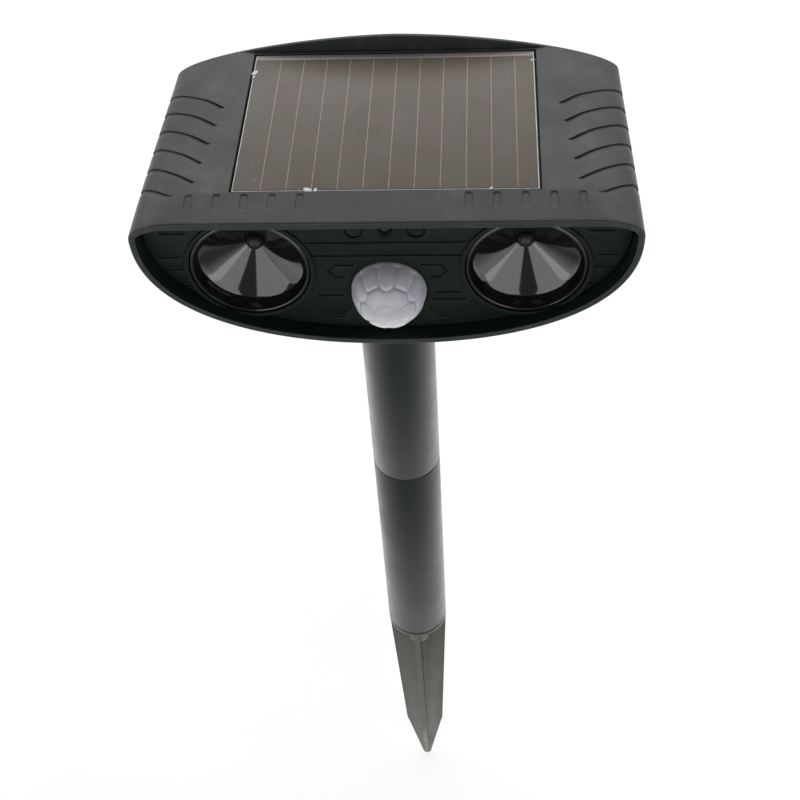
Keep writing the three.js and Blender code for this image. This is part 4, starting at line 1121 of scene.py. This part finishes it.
# ---------------------------------------------------------------- speakers, lens and lamp
def build_speakers():
    """Each horn with its rolled lip, steep ring and cone, and the small dome in its throat."""
    for side, word in ((-1, "left"), (1, "right")):
        centre = (side * SPEAKER_X, SPEAKER_Z)
        rim = SPEAKER_HOLE - GAP
        front = HORN_RIM_Y - HORN_LIP
        inner = rim - 1.05
        profile = [(rim, front + 0.25), (rim - 0.2, front + 0.05), (rim - 0.5, front)]
        profile += [(rim - 0.85, front + 0.15), (rim - 1.0, front + 0.45), (inner, HORN_RIM_Y)]
        for i in range(1, 5):
            profile.append((lerp(inner, CONE_RADIUS, i / 5), lerp(HORN_RIM_Y, CONE_Y, i / 5)))
        turn = (inner - CONE_RADIUS) * 0.2
        profile += [(CONE_RADIUS + turn * 0.5, CONE_Y - turn * 0.55), (CONE_RADIUS, CONE_Y - 0.1)]
        for i in range(13):
            share = lerp(0.03, 1.0, i / 12)
            profile.append((lerp(CONE_RADIUS, HORN_THROAT, share), lerp(CONE_Y, HORN_THROAT_Y, share)))
        profile += [(HORN_THROAT, HORN_THROAT_Y + HORN_SKIN), (HORN_THROAT + 2, HORN_THROAT_Y + HORN_SKIN)]
        profile += [(rim, HORN_RIM_Y + HORN_SKIN)]
        horn = lathe("horn_" + word, profile, "Y", centre, segments=160, closed=True)
        settle(horn, "head", "horn", ["speaker_horn_" + word], 40)
        profile = [(0.02, HORN_THROAT_Y - DOME_HEIGHT)]
        for turn in quarter(12, 1):
            profile.append((DOME_RADIUS * math.sin(turn), HORN_THROAT_Y - DOME_HEIGHT * math.cos(turn)))
        profile += [(DOME_RADIUS - 0.2, HORN_THROAT_Y + 0.35), (1.6, HORN_THROAT_Y + 0.4)]
        profile += [(1.6, HORN_THROAT_Y + HORN_SKIN)]
        dome = lathe("dome_" + word, profile, "Y", centre, segments=64)
        settle(dome, "head", "black", ["speaker_dome_" + word], 40)


def lens_way(polar, turn):
    """Direction from the lens's centre, polar measured from straight ahead and turn from straight up."""
    return Vector((math.sin(polar) * math.sin(turn), -math.cos(polar), math.sin(polar) * math.cos(turn)))


def lens_facets():
    """Directions of the lens's facets: one at the tip, six round it and twelve out to the rim."""
    found = [(0.0, 0.0)]
    found += [(math.radians(38), math.radians(30 + 60 * i)) for i in range(6)]
    found += [(math.radians(60), math.radians(30 * i)) for i in range(12)]
    return [lens_way(polar, turn) for polar, turn in found]


def lens_radius(direction, facets, bulge):
    """Distance of the lens's skin from its centre: each facet stands proud with a valley round it."""
    near = sorted(((direction.angle(f), i) for i, f in enumerate(facets)))[:2]
    (first, index), (second, _) = near
    edge = clamp((second - first) / math.radians(11))
    ring_step = 0.0 if index == 0 else (0.10 if index < 7 else -0.06)
    return LENS_RADIUS - bulge + ring_step + bulge * math.sin(edge * math.pi / 2)


def build_lens(settings):
    """The lens as a thin faceted shell that ends in a flat flange behind the panel."""
    facets = lens_facets()
    around, along = 144, 60
    rings = []
    for i in range(along + 1):
        polar = max(0.004, math.pi / 2 * i / along)
        ring = []
        for j in range(around):
            turn = 2 * math.pi * j / around
            way = lens_way(polar, turn)
            fade = ease(math.pi / 2, math.radians(82), polar)
            radius = lerp(LENS_RADIUS, lens_radius(way, facets, settings.facet_bulge), fade)
            ring.append((way.x * radius, PANEL_FACE + way.y * radius, LENS_Z + way.z * radius))
        rings.append(ring)
    flange = PANEL_FACE + PLATE + GAP
    low = LENS_RADIUS - LENS_SKIN
    wide = LENS_RADIUS + LENS_FLANGE
    tail = [(LENS_RADIUS, flange), (wide, flange), (wide, flange + 1), (low, flange + 1)]
    tail += [(low * math.sin(t), PANEL_FACE - low * math.cos(t)) for t in reversed(quarter(16, 1))]
    tail += [(0.04, PANEL_FACE - low)]
    for radius, y in tail:
        turns = [2 * math.pi * j / around for j in range(around)]
        rings.append([(radius * math.sin(t), y, LENS_Z + radius * math.cos(t)) for t in turns])
    lens = rings_object("lens_dome", rings)
    settle(lens, "head", "lens", ["motion_lens"], 60)


def build_lamp():
    radius = LAMP_HOLE - GAP
    front, back = PANEL_FACE + 0.6, PANEL_FACE + PLATE + GAP
    profile = [(0.02, front)]
    profile += [(radius * math.sin(t), front + 1.2 * (1 - math.cos(t))) for t in quarter(8, 1)]
    profile += [(radius, back), (radius + 0.5, back), (radius + 0.5, back + 1)]
    lamp = lathe("indicator_lens", profile, "Y", (0, LAMP_Z), segments=40)
    settle(lamp, "head", "lamp", ["status_lamp"], 40)


# ---------------------------------------------------------------- solar panel
def build_solar(settings):
    """The board with its film, back strip, collecting lines and beads of adhesive."""
    half, top = SOLAR_HALF, SOLAR_TOP
    slab = block("solar_board", (-half, half), (SOLAR_START, SOLAR_BACK),
                 (top - SOLAR_THICK, top - 0.25), 0.12)
    settle(slab, "head", "board_white", ["solar_panel"], 40)
    edge, strip = settings.white_edge, settings.strip_width
    film_back = SOLAR_BACK - edge - strip
    film = block("solar_film_sheet", (-half + edge, half - edge), (SOLAR_START + edge, film_back),
                 (top - 0.27, top - 0.06), 0.06)
    settle(film, "head", "solar_film", angle=40)
    band = block("solar_back_strip", (-half + edge, half - edge), (film_back + 0.1, SOLAR_BACK - edge),
                 (top - 0.27, top - 0.07), 0.06)
    settle(band, "head", "solar_strip", angle=40)
    length = film_back - SOLAR_START - edge - 0.3
    width = settings.line_width
    rail = block("rail", (-width / 2, width / 2), (-length / 2, length / 2), (0.0, 0.05), 0.015, origin=POLE)
    first = -settings.line_pitch * (settings.line_count - 1) / 2 + settings.line_shift
    middle = SOLAR_START + edge + 0.15 + length / 2
    spots = [(first + settings.line_pitch * i, middle, top - 0.075) for i in range(settings.line_count)]
    lines = repeated("solar_lines", rail, spots, finish_named("solar_line"))
    settle(lines, "head", "solar_line", angle=40)
    blobs = []
    chance = random.Random(5)
    for x, y, size in ((-half + 0.5, 71.5, 1.1), (-half + 0.4, 69.2, 0.6),
                       (-22.5, SOLAR_START + 0.3, 1.2), (-20.2, SOLAR_START + 0.2, 0.7),
                       (half - 0.5, 76.0, 0.7), (31.0, SOLAR_START + 0.2, 0.6)):
        blobs.append(glue_spot(x, y, size, chance))
    merge_into(blobs)
    settle(blobs[0], "head", "board_white", angle=60)


def glue_spot(x, y, size, chance):
    """A flattened bead of white adhesive at the panel's edge."""
    profile = [(0.02, SOLAR_TOP + 0.1)]
    profile += [(size * math.sin(t), SOLAR_TOP - 0.2 + 0.3 * math.cos(t)) for t in quarter(8, 1)]
    profile += [(size, SOLAR_TOP - 0.4)]
    spot = lathe("solar_glue", profile, "Z", (x, y), segments=24)
    middle = place((x, y, SOLAR_TOP), HEAD)
    for vert in spot.data.vertices:
        turn = math.atan2(vert.co.y - middle.y, vert.co.x - middle.x)
        stretch = 1 + 0.25 * math.sin(2 * turn + x) + 0.12 * math.sin(5 * turn + y)
        vert.co.x = middle.x + (vert.co.x - middle.x) * stretch * chance.uniform(0.98, 1.02)
        vert.co.y = middle.y + (vert.co.y - middle.y) * stretch
    return spot


def merge_into(objects):
    """Puts the meshes of several objects into the first one."""
    with editing(objects[0]) as edit:
        for obj in objects[1:]:
            edit.from_mesh(obj.data)
    for obj in objects[1:]:
        discard(obj)


# ---------------------------------------------------------------- rear cover and controls
def build_rear_cover():
    """The cover with its battery tray, openings, dial marks and the frame round the switch."""
    cover = plate("rear_plate", COVER_FACE, COVER_INSIDE)
    door_low, door_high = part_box("battery_door")
    cover_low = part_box("rear_cover")[0]
    left, right = door_low[0] / MM - GAP, door_high[0] / MM + GAP
    top = door_high[2] / MM - HEAD_Z + GAP
    bottom = 2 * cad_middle("battery_cell_2")[2] - top
    tray_front = cover_low[1] / MM - FRONT_Y
    wall = TRAY_WALL
    tray = block("tray", (left - wall, right + wall), (tray_front, COVER_INSIDE + 0.5),
                 (bottom - wall, top + wall), 0.5)
    combine(cover, [tray], "UNION")
    cuts = [block("hollow", (left, right), (tray_front + wall, COVER_FACE + 2), (bottom, top))]
    through = (COVER_INSIDE - 2, COVER_FACE + 2)
    for z in KNOB_Z:
        cuts.append(rod("hole", KNOB_HOLE, *through, KNOB_X, z, 40))
        cuts += dial_marks(z)
    cuts.append(window(SWITCH_X, SWITCH_Z, SWITCH_OPENING, through))
    cuts.append(window(CHARGE_X, CHARGE_Z, CHARGE_OPENING, through))
    cuts += [rod("hole", SCREW_HOLE, *through, x, z, 32) for x, z in REAR_SCREWS]
    frame_outer = window(SWITCH_X, SWITCH_Z, SWITCH_FRAME, (COVER_FACE - 0.35, COVER_FACE + 1))
    frame_inner = window(SWITCH_X, SWITCH_Z, SWITCH_FRAME_INSIDE, (COVER_FACE - 1.35, COVER_FACE + 2))
    cuts.append(combine(frame_outer, [frame_inner], "DIFFERENCE"))
    combine(cover, cuts, "DIFFERENCE")
    soften(cover, 0.15, 2, 35)
    settle(cover, "head", "panel", ["rear_cover"], 28)


def window(x, z, half, depths):
    """Tool for a rectangular opening of half width and half height about (x, z)."""
    return block("window", (x - half[0], x + half[0]), depths, (z - half[1], z + half[1]))


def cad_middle(node):
    low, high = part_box(node)
    middle = [(low[i] + high[i]) / 2 / MM for i in range(3)]
    return Vector(middle) - HEAD


def dial_marks(z):
    """Engraved marks round a knob, from one end of its travel to the other."""
    marks = []
    last = KNOB_MARKS - 1
    for i in range(KNOB_MARKS):
        turn = math.radians(lerp(-KNOB_TRAVEL, KNOB_TRAVEL, i / last))
        way = Vector((-math.sin(turn), math.cos(turn)))
        length = 1.6 if i in (0, last // 2, last) else 1.0
        near = Vector((KNOB_X, z)) + way * (KNOB_RADIUS + 0.7)
        far = near + way * length
        marks.append(stroke("mark", [near, far], 0.5, COVER_FACE - 0.3, COVER_FACE + 1))
    return marks


def build_battery_door():
    door = soften(node_copy("battery_door", "battery_hatch"), 0.25, 2, 35)
    settle(door, "battery_door", "panel", ["battery_door"], 28)


def build_knobs():
    """Each knob from rows of (radius, depth, share of the flutes), with its pale pointer."""
    around, flutes = 160, 10
    seat = COVER_FACE + GAP
    for z, word in zip(KNOB_Z, ("frequency", "sensitivity")):
        top = seat + KNOB_HEIGHT
        wide = KNOB_RADIUS
        rows = [(2.4, COVER_INSIDE - 2.7, 0.0), (2.4, seat, 0.0), (wide - 0.15, seat, 0.0),
                (wide, seat + 0.15, 0.0), (wide, seat + 0.6, 0.0), (wide, seat + 0.8, 1.0),
                (wide - 0.05, top - 1.0, 1.0), (wide - 0.2, top - 0.5, 1.0),
                (wide - 0.5, top - 0.15, 0.9), (wide - 0.9, top, 0.6), (wide - 1.6, top, 0.0),
                (wide - 2.0, top - 0.25, 0.0), (0.05, top - 0.25, 0.0)]
        rings = []
        for radius, y, share in rows:
            ring = []
            for i in range(around):
                turn = 2 * math.pi * i / around
                wave = max(0.0, math.cos(flutes * (turn - math.pi / flutes)))
                reach = radius - 0.75 * share * wave ** 2
                ring.append((KNOB_X + reach * math.cos(turn), y, z + reach * math.sin(turn)))
            rings.append(ring)
        name = word + "_dial"
        dial = rings_object(name, rings)
        settle(dial, word + "_knob", "black", [word + "_knob"], 35)
        pointer = block(name + "_mark", (KNOB_X - 0.4, KNOB_X + 0.4), (top - 0.5, top - 0.1),
                        (z + 1.2, z + KNOB_RADIUS - 2.1), 0.08)
        settle(pointer, word + "_knob", "board_white", angle=40)


def build_small_controls():
    for node, body, finish, slot, width in (
        ("power_slider", "power_slider", "black", "black", 0.22),
        ("charge_cap", "charge_cap", "rubber", "rubber", 0.35),
        ("charge_socket", "head", "steel", "steel", 0.12),
        ("power_switch", "head", "black", "black", 0.15),
    ):
        piece = soften(node_copy(node, node + "_form"), width, 3, 35)
        settle(piece, body, finish, [node])


# ---------------------------------------------------------------- screws
def screw_form(name, towards):
    """Pan-head cross screw about the world origin, seat at y = 0 and its shank towards one side."""
    head, high, shank, length = 2.8, 1.8, 1.45, 8.0
    top = -towards * high
    profile = [(0.02, top)]
    profile += [(head * math.sin(t), top + towards * 1.1 * (1 - math.cos(t))) for t in quarter(7, 1)]
    profile += [(head, -towards * 0.15), (head - 0.15, 0.0), (shank, 0.0)]
    for i in range(16):
        wave = 0.0 if i % 2 else -0.22
        profile.append((shank + wave, towards * (0.4 + (length - 2.2) * i / 15)))
    profile.append((0.05, towards * length))
    body = lathe(name, profile, "Y", (0, 0), POLE, 40)
    deep = (min(top - towards, top + towards * 0.95), max(top - towards, top + towards * 0.95))
    bars = [block("bar", (-1.5, 1.5), deep, (-0.32, 0.32), origin=POLE),
            block("bar", (-0.32, 0.32), deep, (-1.5, 1.5), origin=POLE)]
    return combine(body, bars, "DIFFERENCE")


def build_screws():
    front_seat = PANEL_FACE + PLATE + GAP + FRONT_LUG + GAP
    groups = (
        ("rear_cover_screws", [(x, COVER_FACE + GAP, z) for x, z in REAR_SCREWS],
         ["rear_screw_%d" % i for i in range(1, 5)]),
        ("front_panel_screws", [(x, front_seat, z) for x, z in FRONT_SCREWS],
         ["front_screw_%d" % i for i in range(1, 5)]),
        ("board_screws", BOARD_SCREWS, ["board_screw_left", "board_screw_right"]),
    )
    for name, spots, nodes in groups:
        master = screw_form("screw", -1)
        screws = repeated(name, master, spots, finish_named("steel"), step=0.61)
        settle(screws, "head", "steel", nodes, 35)


# ---------------------------------------------------------------- pole and spike
def rounded_turn(points, radius=0.35):
    """Profile points with each outer corner of a tube's end rounded."""
    made = []
    count = len(points)
    for i, (point, rounded) in enumerate(points):
        if not rounded:
            made.append(point)
            continue
        here = Vector(point)
        before = Vector(points[i - 1][0])
        after = Vector(points[(i + 1) % count][0])
        to_before = (before - here).normalized() * radius
        to_after = (after - here).normalized() * radius
        for t in (0.0, 0.33, 0.67, 1.0):
            share = t * math.pi / 2
            spot = here + to_before * (1 - math.sin(share)) + to_after * (1 - math.cos(share))
            made.append((spot.x, spot.y))
    return made


def build_tubes():
    """The lower tube with its spigot, and the plain upper tube."""
    bore = TUBE_RADIUS - TUBE_WALL
    spigot = bore - GAP
    spigot_bore = spigot - TUBE_WALL
    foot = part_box("lower_tube")[0][2] / MM
    top = LOWER_TOP
    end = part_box("lower_tube")[1][2] / MM
    profile = rounded_turn([
        ((bore, foot), False), ((TUBE_RADIUS, foot), True), ((TUBE_RADIUS, top), True),
        ((spigot, top), False), ((spigot, end), True), ((spigot_bore, end), True),
        ((spigot_bore, top - 2.8), False), ((bore, top - 4.8), False),
    ])
    lower = lathe("lower_pole", profile, "Z", (0, 0), POLE, 128, closed=True)
    settle(lower, "lower_tube", "pole", ["lower_tube"])
    low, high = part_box("upper_tube")
    profile = rounded_turn([
        ((bore, low[2] / MM), False), ((TUBE_RADIUS, low[2] / MM), True),
        ((TUBE_RADIUS, high[2] / MM), True), ((bore, high[2] / MM), True),
    ])
    upper = lathe("upper_pole", profile, "Z", (0, 0), POLE, 128, closed=True)
    settle(upper, "upper_tube", "pole", ["upper_tube"])


def build_socket():
    """The collar under the housing with its roof and two screwed ears."""
    low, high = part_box("pole_socket")
    mouth, roof = low[2] / MM - HEAD_Z, high[2] / MM - HEAD_Z
    bore, wall = TUBE_RADIUS + GAP, socket_wall()
    outer = bore + wall
    profile = rounded_turn([
        ((bore, mouth), True), ((outer, mouth), True), ((outer, roof), True), ((0.05, roof), False),
        ((0.05, roof - wall), False), ((bore, roof - wall), False),
    ], 0.5)
    socket = lathe("socket_collar", profile, "Z", (0, POLE_Y), HEAD, 128, closed=True)
    seat = SOCKET_PAD_Z + GAP
    reach = SOCKET_SCREW_X + SOCKET_EAR
    depth = (POLE_Y - 8, POLE_Y + 8)
    ears = [block("ear", span, depth, (seat, seat + 2.4), 0.3)
            for span in ((-reach, -bore - 0.4), (bore + 0.4, reach))]
    combine(socket, ears, "UNION")
    drill = [(SCREW_HOLE, -45), (SCREW_HOLE, -20)]
    holes = [lathe("hole", drill, "Z", (side * SOCKET_SCREW_X, POLE_Y), segments=32) for side in (-1, 1)]
    combine(socket, holes, "DIFFERENCE")
    settle(socket, "head", "pole", ["pole_socket"])


def blade(name, along):
    """One of the spike's two crossed plates."""
    tip_low = -SPIKE_LENGTH + BLADE_TIP
    half = BLADE_THICK / 2
    side = [(TUBE_RADIUS - 0.1, 0.5), (BLADE_SHOULDER, -SPIKE_SHOULDER + 3)]
    for t in (0.33, 0.67, 1.0):
        side.append((BLADE_SHOULDER * (1 - t * t * 0.1), -SPIKE_SHOULDER + 3 - 6 * t))
    lean = math.radians(28)
    for i in range(7):
        turn = lerp(lean, math.pi / 2, i / 6)
        side.append((BLADE_TIP * math.cos(turn), tip_low - BLADE_TIP * math.sin(turn)))
    outline = side + [(-x, z) for x, z in reversed(side[:-1])]
    rings = []
    for off in (-half, half):
        rings.append([(off, x, z) if along else (x, off, z) for x, z in outline])
    return rings_object(name, rings, origin=POLE)


def build_spike():
    """Flange and spigot, hub and the two crossed blades."""
    spigot = TUBE_RADIUS - TUBE_WALL - GAP
    end, floor = SPIKE_FLANGE + SPIGOT_LENGTH, SPIKE_FLANGE - 0.5
    profile = rounded_turn([
        ((0.05, 0.0), False), ((TUBE_RADIUS, 0.0), True), ((TUBE_RADIUS, SPIKE_FLANGE), True),
        ((spigot, SPIKE_FLANGE), False), ((spigot, end), True), ((spigot - TUBE_WALL, end), True),
        ((spigot - TUBE_WALL, floor), False), ((0.05, floor), False),
    ])
    spike = lathe("stake", profile, "Z", (0, 0), POLE, 96, closed=True)
    hub = lathe("hub", [(HUB_RADIUS - 1.2, -HUB_LENGTH), (HUB_RADIUS - 0.35, -HUB_LENGTH + 0.35),
                        (HUB_RADIUS, -HUB_LENGTH + 1.2), (HUB_RADIUS, 1.0)], "Z", (0, 0), POLE, 64)
    across = combine(blade("across", False), [blade("along", True)], "UNION")
    soften(across, 0.35, 3, 35)
    combine(spike, [hub, across], "UNION")
    settle(spike, "spike", "spike", ["ground_spike"])


# ---------------------------------------------------------------- what is inside
INSIDE = {
    "solar_gasket": "foam", "lens_clamp": "black", "motion_sensor_board": "circuit", "motion_sensor": "steel",
    "control_board": "circuit", "inductor": "copper", "capacitor": "black", "frequency_control": "black",
    "sensitivity_control": "black", "battery_contact_left": "steel", "battery_contact_right": "steel",
    "speaker_driver_left": "black", "speaker_driver_right": "black", "socket_screw_left": "steel",
    "socket_screw_right": "steel", "battery_cell_1": "cell_wrap", "battery_cell_2": "cell_wrap",
    "battery_cell_3": "cell_wrap", "lead_solar": "lead", "lead_battery": "lead", "lead_motion_sensor": "lead",
    "lead_lamp": "lead", "lead_speaker_left": "lead", "lead_speaker_right": "lead",
}


def dress_inside():
    for node, finish in INSIDE.items():
        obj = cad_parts[node]
        for slot in obj.material_slots:
            slot.material = finish_named(finish)


# ---------------------------------------------------------------- stage
FLOOR_REACH, FLOOR_DROP = 4.0, 0.0005  # metres
CAMERA_SPOT = (28.42, -283.22, 258.011)  # millimetres in the head's frame
CAMERA_TURN = (0.8551, -0.0953, -0.073)  # radians: pitch down, yaw to the right, roll


def softbox(name, at, towards, size, power):
    """Rectangular white light facing a point; power in watts, places in metres."""
    data = bpy.data.lights.new(name, "AREA")
    data.shape = "RECTANGLE"
    data.size, data.size_y = size
    data.energy = power
    light = new_object(name, data)
    light.location = at
    light.rotation_euler = (Vector(towards) - Vector(at)).to_track_quat("-Z", "Y").to_euler()


def floor_material(brightness):
    """Pale paper, lit from behind so that it stays white where the object stands on it."""
    made = Finish("floor_paper", 0.95)
    made.mottle(300, (0.18, 0.18, 0.18), (0.22, 0.22, 0.22))
    made.grain(1.2, 0.02)
    seen = made.nodes.new("ShaderNodeLightPath").outputs["Is Camera Ray"]
    split = made.nodes.new("ShaderNodeSeparateXYZ")
    made.links.new(made.place, split.inputs[0])
    behind = made.ramp(split.outputs["Y"], -0.26, 0.12, 0.04, 1.5)
    aside = made.ramp(made.sum(split.outputs["X"], 0.0, "ABSOLUTE"), 0.3, 0.7, 0.0, 1.3)
    behind = made.sum(behind, aside, "MAXIMUM")
    behind_seen = made.sum(made.sum(1.0, seen, "SUBTRACT"), behind, "MULTIPLY")
    glow = made.sum(made.sum(seen, brightness, "MULTIPLY"), behind_seen)
    made.shader.inputs["Emission Color"].default_value = (1, 1, 1, 1)
    made.links.new(glow, made.shader.inputs["Emission Strength"])
    return made.finish()


def camera_turn(pitch, yaw, roll):
    """Euler turn of a camera that looks along +y when all three angles are 0."""
    ahead = Vector((math.sin(yaw) * math.cos(pitch), math.cos(yaw) * math.cos(pitch), -math.sin(pitch)))
    level = Vector((math.cos(yaw), -math.sin(yaw), 0.0))
    above = level.cross(ahead)
    right = level * math.cos(roll) + above * math.sin(roll)
    top = above * math.cos(roll) - level * math.sin(roll)
    turned = Matrix((right, top, -ahead)).transposed()
    return turned.to_euler()


def build_stage(settings):
    """The floor, the white surroundings, the soft lights and the camera."""
    scene = bpy.context.scene
    height = CAD_BOX[0][2] - FLOOR_DROP
    corners = [(x * FLOOR_REACH, y * FLOOR_REACH, height) for x, y in ((-1, -1), (1, -1), (1, 1), (-1, 1))]
    mesh = bpy.data.meshes.new("floor")
    mesh.from_pydata(corners, [], [(0, 1, 2, 3)])
    floor = new_object("floor", mesh)
    mesh.materials.append(floor_material(settings.floor_glow))

    world = bpy.data.worlds.new("studio")
    scene.world = world
    world.use_nodes = True
    background = world.node_tree.nodes["Background"]
    background.inputs["Color"].default_value = (1.0, 1.0, 1.0, 1.0)
    tree = world.node_tree
    seen = tree.nodes.new("ShaderNodeLightPath").outputs["Is Camera Ray"]
    strength = tree.nodes.new("ShaderNodeMath")
    strength.operation = "MAXIMUM"
    strength.inputs[1].default_value = settings.room_light
    tree.links.new(seen, strength.inputs[0])
    tree.links.new(strength.outputs[0], background.inputs["Strength"])
    head = Vector((0.0, 0.0, HEAD_Z * MM))
    softbox("overhead_rear", (0.0, 1.05, 1.25), head, (2.6, 1.7), settings.overhead_power)
    for side, word in ((-1, "left"), (1, "right")):
        softbox("front_" + word, (side * 0.575, -1.07, 0.34), head, (0.76, 1.0), settings.front_power)
        softbox("side_" + word, (side * 1.0, 0.4, 0.3), head, (0.5, 1.0), settings.side_power)

    data = bpy.data.cameras.new("camera")
    data.sensor_width = 36.0
    data.lens = settings.lens
    data.clip_start = 0.01
    camera = new_object("camera", data)
    camera.location = place(CAMERA_SPOT, HEAD)
    camera.rotation_euler = camera_turn(*CAMERA_TURN)
    scene.camera = camera
    scene.view_settings.view_transform = "Standard"


# ---------------------------------------------------------------- settings
def number(name, about, default, low=0.0):
    return bpy.props.FloatProperty(name=name, description=about, default=default, min=low)


def watts(name, about, default):
    return bpy.props.FloatProperty(name=name, description=about, default=default, min=0.0, unit="POWER")


def tint(name, about, default):
    return bpy.props.FloatVectorProperty(name=name, description=about, default=default, min=0.0, max=1.0,
                                         size=3, subtype="COLOR_GAMMA")


class HousingSettings(bpy.types.PropertyGroup):
    shell_colour: tint("Shell colour", "Colour of the moulded housing", (0.115, 0.15, 0.128))
    groove_depth: number("Groove depth", "Depth of the side grooves in millimetres", 0.6)
    groove_width: number("Groove width", "Width of the side grooves in millimetres", 2.2, 0.5)


class PanelSettings(bpy.types.PropertyGroup):
    panel_colour: tint("Panel colour", "Colour of the front panel and rear cover", (0.05, 0.095, 0.065))


class LensSettings(bpy.types.PropertyGroup):
    facet_bulge: number("Facet bulge", "Height of the lens facets in millimetres", 0.42)


class SolarSettings(bpy.types.PropertyGroup):
    white_edge: number("White edge", "Bare edge of the solar board in millimetres", 0.35)
    strip_width: number("Strip width", "Width of the strip along the back in millimetres", 2.6)
    line_width: number("Line width", "Width of a collecting line in millimetres", 0.3)
    line_pitch: number("Line pitch", "Distance between collecting lines in millimetres", 7.53)
    line_shift: number("Line shift", "Sideways shift of all the lines in millimetres", 1.15)
    line_count: bpy.props.IntProperty(name="Lines", description="Number of collecting lines",
                                      default=11, min=1)


class PoleSettings(bpy.types.PropertyGroup):
    pole_colour: tint("Pole colour", "Colour of the tubes and the socket", (0.085, 0.12, 0.085))
    spike_colour: tint("Spike colour", "Colour of the ground spike", (0.175, 0.19, 0.12))


class StageSettings(bpy.types.PropertyGroup):
    floor_glow: number("Floor glow", "Brightness of the back-lit floor paper", 0.8)
    room_light: number("Room light", "Strength of the even light all round", 0.18)
    overhead_power: watts("Overhead", "Power of the overhead softbox", 30.0)
    side_power: watts("Sides", "Power of each softbox at the sides", 3.0)
    front_power: watts("Front", "Power of each front softbox", 4.4)
    lens: number("Lens", "Camera focal length in millimetres", 59.28, 1.0)


SETTINGS = {
    "repeller_housing": HousingSettings,
    "repeller_panel": PanelSettings,
    "repeller_lens": LensSettings,
    "repeller_solar": SolarSettings,
    "repeller_pole": PoleSettings,
    "repeller_stage": StageSettings,
}


# ---------------------------------------------------------------- operators
class BuildHousing(bpy.types.Operator):
    """Mould the housing with its deck, grooves, slots and screw lugs"""
    bl_idname = "repeller.housing"
    bl_label = "Housing"

    def execute(self, context):
        build_housing(context.scene.repeller_housing)
        return {"FINISHED"}


class BuildFrontPanel(bpy.types.Operator):
    """Make the front panel with its engraved circuit lines and speaker rings"""
    bl_idname = "repeller.front_panel"
    bl_label = "Front panel"

    def execute(self, context):
        build_front_panel()
        return {"FINISHED"}


class BuildSpeakers(bpy.types.Operator):
    """Turn the two glossy horns and their domes"""
    bl_idname = "repeller.speakers"
    bl_label = "Speakers"

    def execute(self, context):
        build_speakers()
        return {"FINISHED"}


class BuildLens(bpy.types.Operator):
    """Mould the faceted motion lens and the status lamp"""
    bl_idname = "repeller.lens"
    bl_label = "Lens and lamp"

    def execute(self, context):
        build_lens(context.scene.repeller_lens)
        build_lamp()
        return {"FINISHED"}


class BuildSolar(bpy.types.Operator):
    """Lay the solar panel with its film, strip, lines and glue spots"""
    bl_idname = "repeller.solar"
    bl_label = "Solar panel"

    def execute(self, context):
        build_solar(context.scene.repeller_solar)
        return {"FINISHED"}


class BuildRear(bpy.types.Operator):
    """Make the rear cover, battery hatch, knobs, slider and charging port"""
    bl_idname = "repeller.rear"
    bl_label = "Rear cover and controls"

    def execute(self, context):
        build_rear_cover()
        build_battery_door()
        build_knobs()
        build_small_controls()
        return {"FINISHED"}


class BuildScrews(bpy.types.Operator):
    """Set the cross screws in their lugs"""
    bl_idname = "repeller.screws"
    bl_label = "Screws"

    def execute(self, context):
        build_screws()
        return {"FINISHED"}


class BuildPole(bpy.types.Operator):
    """Turn the socket, the two tubes and the ground spike"""
    bl_idname = "repeller.pole"
    bl_label = "Pole and spike"

    def execute(self, context):
        build_socket()
        build_tubes()
        build_spike()
        return {"FINISHED"}


class DressInside(bpy.types.Operator):
    """Give the inner pieces their finishes"""
    bl_idname = "repeller.inside"
    bl_label = "Inner pieces"

    def execute(self, context):
        dress_inside()
        return {"FINISHED"}


class BuildStage(bpy.types.Operator):
    """Set the floor, the soft lights and the camera"""
    bl_idname = "repeller.stage"
    bl_label = "Stage"

    def execute(self, context):
        build_stage(context.scene.repeller_stage)
        return {"FINISHED"}


OPERATORS = (BuildStage, BuildHousing, BuildFrontPanel, BuildSpeakers, BuildLens, BuildSolar, BuildRear,
             BuildScrews, BuildPole, DressInside)


class RepellerPanel(bpy.types.Panel):
    """The repeller's settings and build steps"""
    bl_idname = "VIEW3D_PT_repeller"
    bl_label = "Pest repeller"
    bl_space_type = "VIEW_3D"
    bl_region_type = "UI"
    bl_category = "Repeller"

    def draw(self, context):
        layout = self.layout
        for attribute, group in SETTINGS.items():
            box = layout.box()
            for key in group.__annotations__:
                box.prop(getattr(context.scene, attribute), key)
        for operator in OPERATORS:
            layout.operator(operator.bl_idname)


def register():
    for group in SETTINGS.values():
        bpy.utils.register_class(group)
    for operator in OPERATORS:
        bpy.utils.register_class(operator)
    bpy.utils.register_class(RepellerPanel)
    for attribute, group in SETTINGS.items():
        setattr(bpy.types.Scene, attribute, bpy.props.PointerProperty(type=group))


def unregister():
    for attribute in SETTINGS:
        delattr(bpy.types.Scene, attribute)
    bpy.utils.unregister_class(RepellerPanel)
    for group in (*OPERATORS, *SETTINGS.values()):
        bpy.utils.unregister_class(group)


def main():
    register()
    for operator in OPERATORS:
        group, action = operator.bl_idname.split(".")
        getattr(getattr(bpy.ops, group), action)()


if __name__ == "__main__":
    main()
